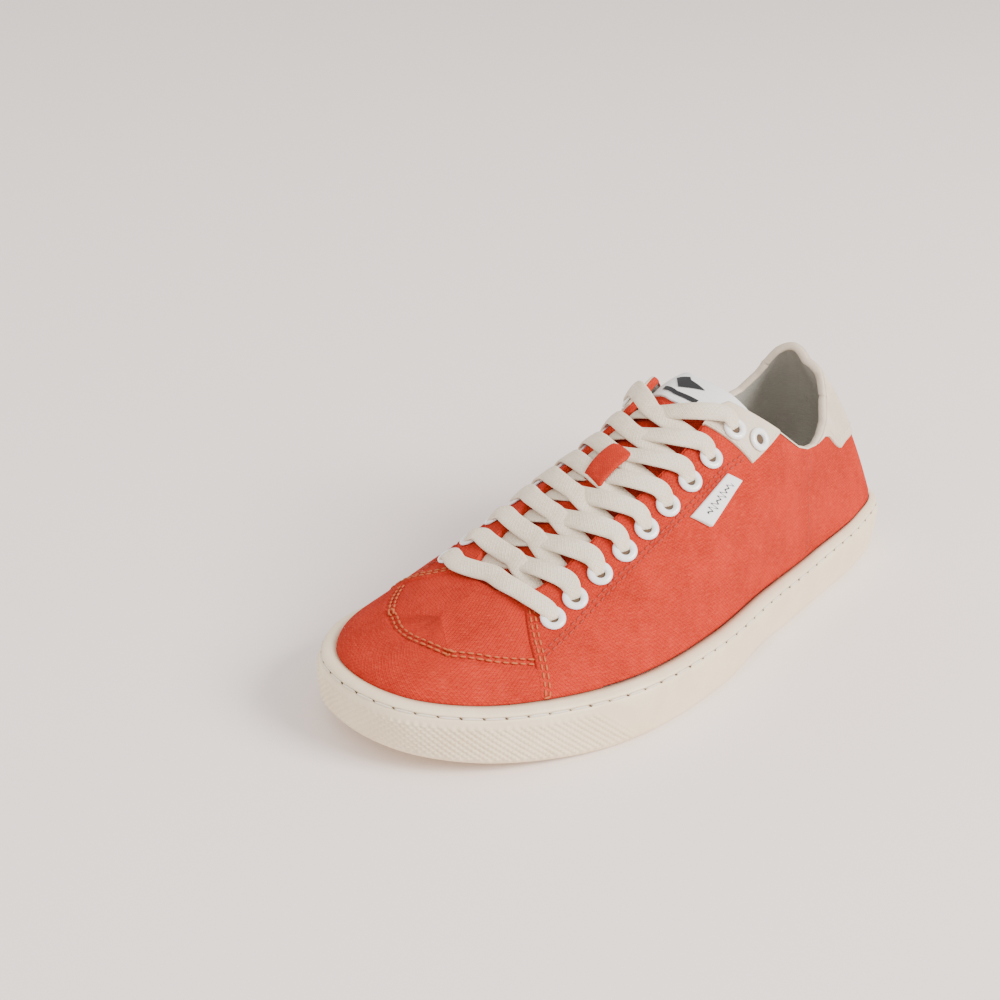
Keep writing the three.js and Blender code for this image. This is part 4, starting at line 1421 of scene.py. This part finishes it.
@dataclass
class MarkShape:
    """A plain mark: a lozenge over a short bar."""

    lozenge: tuple = ((0.50, 0.14), (0.64, 0.38), (0.50, 0.62), (0.36, 0.38))
    bar: tuple = ((0.34, 0.72), (0.66, 0.72), (0.66, 0.84), (0.34, 0.84))
    cells: int = 10

    def quads(self) -> list[list[tuple[float, float]]]:
        """Small cells of the mark in shares of the label."""
        made = []
        n = self.cells
        for shape in (self.lozenge, self.bar):
            a, b, c, d = (np.array(q) for q in shape)
            spot = lambda i, j: tuple(
                (a * (1 - i / n) + b * i / n) * (1 - j / n) + (d * (1 - i / n) + c * i / n) * j / n)
            made += [[spot(i, j), spot(i + 1, j), spot(i + 1, j + 1), spot(i, j + 1)]
                     for i in range(n) for j in range(n)]
        return made


@dataclass
class Trim:
    """Heel tab, eyelet patches and the small side tag."""

    skin: Skin
    scatter: Scatter
    upper: Upper
    seams: Seams
    tab_x: tuple = (-20, 20, 30, 36, 40, 46, 52, 60, 66)
    tab_z: tuple = (53, 53, 52.2, 51.2, 53.6, 59.6, 61.8, 62.6, 63)
    notch_y: tuple = (-30, -16, -10, -6.6, -5.4, -4.2, -3, 0.5, 6, 30)
    notch_z: tuple = (0, 50, 56, 66, 71, 71, 66, 56, 50, 0)

    def heel_tab(self) -> None:
        """The leather tab over the top of the heel, notched at the back."""
        cols, rows = 420, 26
        a = LAST.locate(62, 26)[0]
        b = LAST.locate(62, -30)[0]
        t = np.linspace(-b, a, cols)
        top = np.interp(np.mod(t, 1), *self.upper.top_table)
        s = np.linspace(0.2, 1, 400)
        p = LAST.point(np.mod(t, 1)[:, None], s[None, :] * top[:, None])
        floor = np.maximum(np.interp(p[..., 0], self.tab_x, self.tab_z),
                           np.where(p[..., 0] < 30, np.interp(p[..., 1], self.notch_y, self.notch_z), 0))
        low = s[np.argmax(p[..., 2] > floor, axis=1)] * top
        low = np.where((p[..., 2] > floor).any(axis=1), low, top - 0.004)
        low = np.convolve(np.pad(low, 2, mode="edge"), np.ones(5) / 5, mode="valid")
        v = np.linspace(0, 1, rows)[:, None]
        ss = low[None] * (1 - v) + np.minimum(top, 0.999)[None] * v
        tt = np.broadcast_to(t[None], ss.shape)
        obj = self.skin.sheet("heel_tab_leather", tt, ss, 1.75, 0.3, "leather", self.upper.relief)
        ride(obj, "leather", "heel_tab")
        keep = (low < top - 0.06)
        c = np.where(t >= 0, 1 - (low + 0.035), -(1 - (low + 0.035)))
        wc = np.stack([np.abs(t), c], 1)
        for name, pick in (("tab_stitch_outer", keep & (t > 0.004)), ("tab_stitch_inner", keep & (t < -0.004))):
            sel = wc[pick][:: max(int(pick.sum() / 40), 1)]
            self.seams.run_wc(name, sel, "thread_pale", "leather", 1.85, (0.0,), 2.0, 0.8, 0.3)

    def patch(self, side: Side) -> None:
        """The leather patch around the last two eyelets of a facing."""
        corners = {
            Side.OUTER: ((99.6, 30.2), (120.9, 33.8), (131, 15.6)),
            Side.INNER: ((99.6, -31), (120, -33), (131, -20)),
        }[side]
        wc = [LAST.locate(*q) for q in corners]
        cols, rows = 120, 40
        w = np.linspace(wc[0][0], wc[2][0], cols)
        t = w if side is Side.OUTER else 1 - w
        top = np.interp(t, *self.upper.top_table)
        share = np.interp(w, [q[0] for q in wc], [1 - abs(q[1]) for q in wc])
        low = np.minimum(share, top - 0.004)
        v = np.linspace(0, 1, rows)[:, None]
        s = low[None] * (1 - v) + top[None] * v
        tt = np.broadcast_to(t[None], s.shape)
        name = f"patch_{side.name.lower()}"
        obj = self.skin.sheet(name + "_leather", tt, s, 1.75, 0.2, "leather", self.upper.relief)
        ride(obj, "leather", name)
        mid = np.array(wc).mean(0)
        pts = [np.array(q) + (mid - np.array(q)) * 0.13 for q in wc]
        fine = []
        for a, b in zip(pts, pts[1:]):
            fine += [tuple(a * (1 - f) + b * f) for f in np.linspace(0.03, 0.97, 6)]
        self.seams.run_wc(f"patch_stitch_{side.name.lower()}", np.array(fine), "thread_pale", "leather", 1.85, (0.0,),
                          1.7, 0.7, 0.28)

    def tag(self) -> None:
        """The small woven tag in the eyestay seam, with a plain zigzag."""
        corners = [LAST.locate(*q) for q in ((134.6, 32.4), (130.2, 35.2), (152, 39.2), (158, 34.5))]
        q = np.array(corners)
        u = np.linspace(0, 1, 40)[None, :, None]
        v = np.linspace(0, 1, 20)[:, None, None]
        wc = q[0] * (1 - u) * (1 - v) + q[1] * (1 - u) * v + q[2] * u * v + q[3] * u * (1 - v)
        t, s = LAST.ts(wc[..., 0], wc[..., 1])
        obj = self.skin.sheet("side_tag_cloth", t, s, 1.9 + 1.2 * v[..., 0] * np.ones(t.shape), 0.5, "label")
        ride(obj, "label", "side_tag")
        verts, faces, uv = [], [], []
        n = 44
        for k in range(n + 1):
            f = 0.16 + 0.68 * k / n
            y = 0.5 + 0.24 * math.sin(k * 1.15) * (0.6 + 0.4 * math.cos(k * 0.37))
            for d in (-0.045, 0.045):
                g = (q[0] * (1 - f) * (1 - y - d) + q[1] * (1 - f) * (y + d) + q[2] * f * (y + d)
                     + q[3] * f * (1 - y - d))
                verts.append(LAST.across(g[0], g[1], 2.05 + 1.2 * (y + d)))
                uv.append((f * 26, y * 9))
            if k:
                faces.append((2 * k - 2, 2 * k - 1, 2 * k + 1, 2 * k))
        ride(self.skin.mesh("tag_print", np.array(verts), faces, np.array(uv), "ink"), "label")

    def build(self) -> None:
        """Builds all the trim."""
        self.heel_tab()
        for side in Side:
            self.patch(side)
        self.tag()


@dataclass
class Lacing:
    """Eyelets and the flat lace that runs through them."""

    skin: Skin
    scatter: Scatter
    width: float = 7.9
    bar_bow: float = 0.0165
    bow: float = 0.008
    length: float = 0.0
    thick: float = 1.35
    eyelets: tuple = (
        (222.9, 26.6, 221.8, -27), (212, 27.1, 210.8, -26.6), (199.4, 27.4, 198.2, -26.2),
        (187, 28, 185.8, -25.8), (175.2, 28, 174, -25.4), (163.2, 27.8, 162.2, -25),
        (150.4, 27.4, 149.6, -24.6), (137.4, 26.5, 137, -24.2), (122, 24.8, 122.4, -24.2),
        (114, 30.5, 113.5, -29),
    )

    def places(self) -> list[tuple[tuple[float, float], tuple[float, float]]]:
        """Rib and share of each row of eyelets, outer and inner."""
        return [(LAST.locate(a, b), LAST.locate(c, d)) for a, b, c, d in self.eyelets]

    def ring(self) -> bpy.types.Object:
        """One eyelet: a rounded washer with a barrel, its z along the hole."""
        prof = [(1.95, -2.2), (2.5, -2.2), (2.5, 0.05), (4.4, 0.1), (4.75, 0.45), (4.6, 0.95), (4.0, 1.35), (3.2, 1.5),
                (2.55, 1.35), (2.1, 0.95), (1.95, 0.3)]
        n, m = 40, len(prof)
        verts = [(r * math.cos(2 * math.pi * i / n) / 1000, r * math.sin(2 * math.pi * i / n) / 1000, z / 1000)
                 for i in range(n) for r, z in prof]
        faces = [(i * m + j, ((i + 1) % n) * m + j, ((i + 1) % n) * m + (j + 1) % m, i * m + (j + 1) % m)
                 for i in range(n) for j in range(m)]
        me = bpy.data.meshes.new("eyelet_ring")
        me.from_pydata(verts, [], faces)
        me.uv_layers.new(name="cloth")
        return bpy.data.objects.new("eyelet_ring", me)

    def rings(self) -> None:
        """All twenty eyelets, and dark discs painted as the shade inside their holes."""
        at, along, up, names = [], [], [], []
        for k, row in enumerate(self.places()):
            for side, (w, c) in zip(("outer", "inner"), row):
                t, s = LAST.ts(w, c)
                n = LAST.normal(t, s)
                at.append(LAST.point(t, s) + n * (1.75 if k > 7 else 0.75))
                up.append(n)
                along.append(unit(np.cross(np.cross(n, [1, 0, 0]), n)))
                names.append(f"eyelet_{side}_{k + 1}")
        ring = self.ring()
        obj = self.scatter.copies("eyelets", ring, np.array(at), np.array(along), np.array(up), "enamel")
        Skin.tidy(obj)
        bpy.data.objects.remove(ring)
        ride(obj, "eyelet", *names)
        disc = Bead(self.skin).make("hole_bead")
        # Painted shade: a dark disc in each eyelet stands for the shade inside its hole.
        hole_shade_mesh = self.scatter.copies("eyelet_holes", disc, np.array(at) + np.array(up) * 0.15, np.array(along),
                                    np.array(up), "shadow", (2.05, 2.05, 0.25))
        bpy.data.objects.remove(disc)
        ride(hole_shade_mesh, "eyelet")

    def strand(self, stations: Sequence[tuple[float, float, float, float]], seed: float) -> tuple[Array, Array]:
        """One flat strand.

        Args:
            stations: Rib, share, height and width at each station.
            seed: Moves its small unevenness.

        Returns:
            Ring points along the strand and their cloth coordinates.
        """
        q = np.array(stations, float)
        k = np.arange(len(q))
        f = np.linspace(0, len(q) - 1, 26 * (len(q) - 1))
        w, c, h, wide = (tab(k, q[:, i], f) for i in range(4))
        p = LAST.across(w, c, h)
        ker = np.ones(9) / 9
        p = np.stack([np.convolve(np.pad(p[:, i], 4, mode="edge"), ker, mode="valid") for i in range(3)], 1)
        t, s = LAST.ts(w, c)
        n0 = LAST.normal(t, s)
        soft = np.ones(25) / 25
        n0 = np.stack([np.convolve(np.pad(n0[:, i], 12, mode="edge"), soft, mode="valid") for i in range(3)], 1)
        d = unit(np.gradient(p, axis=0))
        across = unit(np.cross(d, n0))
        n = unit(np.cross(across, d))
        twist = 0.12 * np.sin(f * 1.7 + seed)
        cos, sin = np.cos(twist)[:, None], np.sin(twist)[:, None]
        across, n = across * cos + n * sin, n * cos - across * sin
        m = 16
        rows = []
        for i in range(m):
            a = 2 * math.pi * i / m
            cx = math.copysign(abs(math.cos(a)) ** 0.55, math.cos(a))
            cz = math.copysign(abs(math.sin(a)) ** 0.6, math.sin(a))
            cup = 0.22 * (1 - cx * cx)
            rows.append(p + across * (cx * wide / 2)[:, None] + n * (cz * self.thick / 2 + cup))
        grid = np.stack(rows)
        arc = np.concatenate([[0], np.cumsum(np.linalg.norm(np.diff(p, axis=0), axis=1))])
        around = np.array([0.5 * self.width * math.cos(2 * math.pi * i / m) for i in range(m)])
        uv = np.stack([np.broadcast_to(arc, grid.shape[:2]),
                       np.broadcast_to(around[:, None], grid.shape[:2])], -1)
        return grid, uv

    def lace(self, name: str, strands: list[tuple[Array, Array]]) -> None:
        """A piece from one or two strands."""
        verts, faces, uvs, base = [], [], [], 0
        for grid, uv in strands:
            m, n = grid.shape[:2]
            verts.append(grid.transpose(1, 0, 2).reshape(-1, 3))
            uvs.append(uv.transpose(1, 0, 2).reshape(-1, 2))
            faces += (self.skin.quads(n, m, True) + base).tolist()
            faces += [[base + i for i in range(m)], [base + (n - 1) * m + i for i in range(m)]]
            base += m * n
            self.length += float(uv[0, -1, 0])
        obj = self.skin.mesh(name + "_cotton", np.concatenate(verts), faces, np.concatenate(uvs), "lace")
        ride(obj, "lace", name)

    def build(self) -> None:
        """Builds eyelets and laces."""
        self.rings()
        rows = self.places()
        wide = self.width
        a, b = rows[0]
        mid = 0.5 * (a[0] + b[0])
        bow = self.bar_bow
        bar = [(a[0], a[1], -2.2, 3.8), (a[0], a[1] * 0.99, 1.5, 5.0), (a[0] + 0.12 * bow, a[1] * 0.86, 2.4, 7.4),
               (a[0] + 0.6 * bow, a[1] * 0.55, 1.9, wide), (mid + bow, 0.02, 1.3, wide),
               (b[0] + 0.6 * bow, b[1] * 0.55, 1.9, wide), (b[0] + 0.12 * bow, b[1] * 0.88, 2.6, wide),
               (b[0], b[1] * 1.05, 1.7, 7.2), (b[0], b[1] * 1.07, -1.6, 5.4)]
        self.lace("lace_1", [self.strand(bar, 0.3)])
        for k in range(1, 9):
            lift = 1.1 if k == 8 else 0.0
            made = []
            for low, (start, end) in enumerate(((rows[k - 1][1], rows[k][0]), (rows[k - 1][0], rows[k][1]))):
                high = -2.2 if low == 0 else -0.6
                w0, w1 = start[0], end[0]
                at = lambda f: w0 + (w1 - w0) * f
                dip = self.bow
                path = [
                    (at(0.0), start[1] * 0.95, -3.2, 6.0), (at(0.12), start[1] * 0.68, -3.0, 7.4),
                    (at(0.34) + 0.7 * dip, start[1] * 0.34, -2.3 + 0.5 * low, wide),
                    (at(0.56) + dip, (start[1] + end[1]) * 0.12 + end[1] * 0.04, high, wide),
                    (at(0.8) + 0.6 * dip, end[1] * 0.44, 0.8 + lift * 0.6 + 0.3 * low, wide),
                    (at(0.97), end[1] * 0.76, 2.3 + lift, wide),
                ]
                if end[1] > 0:
                    path += [(at(1.0), end[1] * 0.93, 2.2 + lift, 6.2), (at(1.0), end[1], 0.2, 4.4),
                             (at(1.0), end[1], -2.4, 3.6)]
                else:
                    path += [(at(1.0), end[1] * 0.93, 2.6 + lift, wide), (at(1.0), end[1] * 1.05, 1.6, 7.2),
                             (at(1.0), end[1] * 1.07, -1.6, 5.4)]
                made.append(self.strand(path, k * 1.3 + low))
            self.lace(f"lace_{k + 1}", made)
        LOG.info("lace, all strands: %.0f mm", self.length)


@dataclass
class Insole:
    """Cushioned insole inside the shell."""

    skin: Skin

    def build(self) -> None:
        """Builds the insole with a soft edge and a heel cup."""
        t = np.arange(300) / 300
        rings = []
        for k in range(16):
            f = k / 15
            shrink = 2.6 + 26 * f
            p, _, _ = LAST.plan(t, LAST.inset(t) + shrink) if k < 4 else (None, None, None)
            if p is None:
                q, _, _ = LAST.plan(t, LAST.inset(t) + 2.6 + 26 * 3 / 15)
                mid = np.stack([q[:, 0] * 0.86 + 20, np.interp(q[:, 0], (0, 290), (-4, -4))], 1)
                g = (k - 3) / 12
                p = q * (1 - g) + mid * g
            z = tab(LAST.sole_x, LAST.floor_z, p[:, 0]) + 4.3 - 0.9 * (k == 0)
            rings.append(np.concatenate([p, z[:, None]], 1))
        side = rings[0].copy()
        side[:, 2] -= 3.0
        p = np.stack([side] + rings)
        obj = self.skin.grid("insole_pad", p, p[..., :2].copy(), "lining", wrap=True)
        Tongue.cap(obj)
        ride(obj, "insole", "insole")


@dataclass
class Studio:
    """Floor, soft light and the camera."""

    azimuth: float = 133.4
    elevation: float = 26.7
    roll: float = 2.3
    distance: float = 0.710
    lens: float = 59.54
    target: tuple[float, float, float] = (0.0, -0.0791, 0.0267)

    def floor(self) -> None:
        """A pale, matte floor."""
        bpy.ops.mesh.primitive_plane_add(size=24, location=(0, 0, 0))
        obj = bpy.context.object
        obj.name = "floor"
        mat = bpy.data.materials.new("pale_floor")
        mat.use_nodes = True
        bsdf = mat.node_tree.nodes["Principled BSDF"]
        bsdf.inputs["Base Color"].default_value = (0.93, 0.845, 0.81, 1)
        bsdf.inputs["Roughness"].default_value = 0.9
        bsdf.inputs["Specular IOR Level"].default_value = 0.2
        obj.data.materials.append(mat)
        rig.stage(obj)

    def area(self, name: str, where: tuple[float, float, float], size: float, power: float,
             colour: tuple[float, float, float]) -> None:
        """A soft square light aimed at the shoe."""
        data = bpy.data.lights.new(name, "AREA")
        data.shape, data.size, data.energy, data.color = "SQUARE", size, power, colour
        obj = bpy.data.objects.new(name, data)
        obj.location = where
        obj.rotation_euler = (Vector((0, 0, 0.03)) - Vector(where)).to_track_quat("-Z", "Y").to_euler()
        bpy.context.scene.collection.objects.link(obj)

    def build(self) -> None:
        """Sets the stage."""
        self.floor()
        self.area("key", (-0.55, 1.9, 1.45), 1.1, 98, (1.0, 0.965, 0.925))
        self.area("fill", (1.6, 0.3, 1.6), 2.2, 18, (1.0, 0.96, 0.93))
        world = bpy.data.worlds.new("studio")
        world.use_nodes = True
        world.node_tree.nodes["Background"].inputs[0].default_value = (1.0, 0.965, 0.95, 1)
        world.node_tree.nodes["Background"].inputs[1].default_value = 1.08
        bpy.context.scene.world = world
        a, e, r = (math.radians(v) for v in (self.azimuth, self.elevation, self.roll))
        back = Vector((math.sin(a) * math.cos(e), -math.cos(a) * math.cos(e), math.sin(e)))
        right = Vector((math.cos(a), math.sin(a), 0))
        up = back.cross(right)
        r2 = right * math.cos(r) + up * math.sin(r)
        u2 = up * math.cos(r) - right * math.sin(r)
        cam = bpy.data.cameras.new("camera")
        cam.lens, cam.sensor_width = self.lens, 36.0
        obj = bpy.data.objects.new("camera", cam)
        m = Matrix((r2, u2, back)).transposed().to_4x4()
        m.translation = Vector(self.target) + back * self.distance
        obj.matrix_world = m
        bpy.context.scene.collection.objects.link(obj)
        bpy.context.scene.camera = obj


class Sneaker:
    """The whole shoe."""

    def __init__(self) -> None:
        self.skin = Skin(Finishes())
        self.scatter = Scatter(self.skin)

    def build(self) -> None:
        """Builds every part in turn."""
        Sole(self.skin, self.scatter).build()
        Insole(self.skin).build()
        upper = Upper(self.skin, self.scatter)
        upper.build()
        seams = Seams(self.skin, self.scatter, upper)
        seams.build()
        Tongue(self.skin, self.scatter).build()
        Trim(self.skin, self.scatter, upper, seams).build()
        Lacing(self.skin, self.scatter).build()


def write_sizes() -> None:
    """Writes the bounds of the frame and of the finished shoe."""
    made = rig.bounds()
    flat = lambda b: [[round(float(v), 5) for v in corner] for corner in b]
    try:
        data = {"cad": flat(START_BOUNDS), "visual": flat(made)}
    except TypeError:
        data = {"cad": str(START_BOUNDS), "visual": str(made)}
    with open("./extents.json", "w") as f:
        json.dump(data, f, indent=1)
    LOG.info("sizes %s", data)


def main() -> None:
    """Builds the scene."""
    Studio().build()
    Sneaker().build()
    write_sizes()


if __name__ == "__main__":
    main()
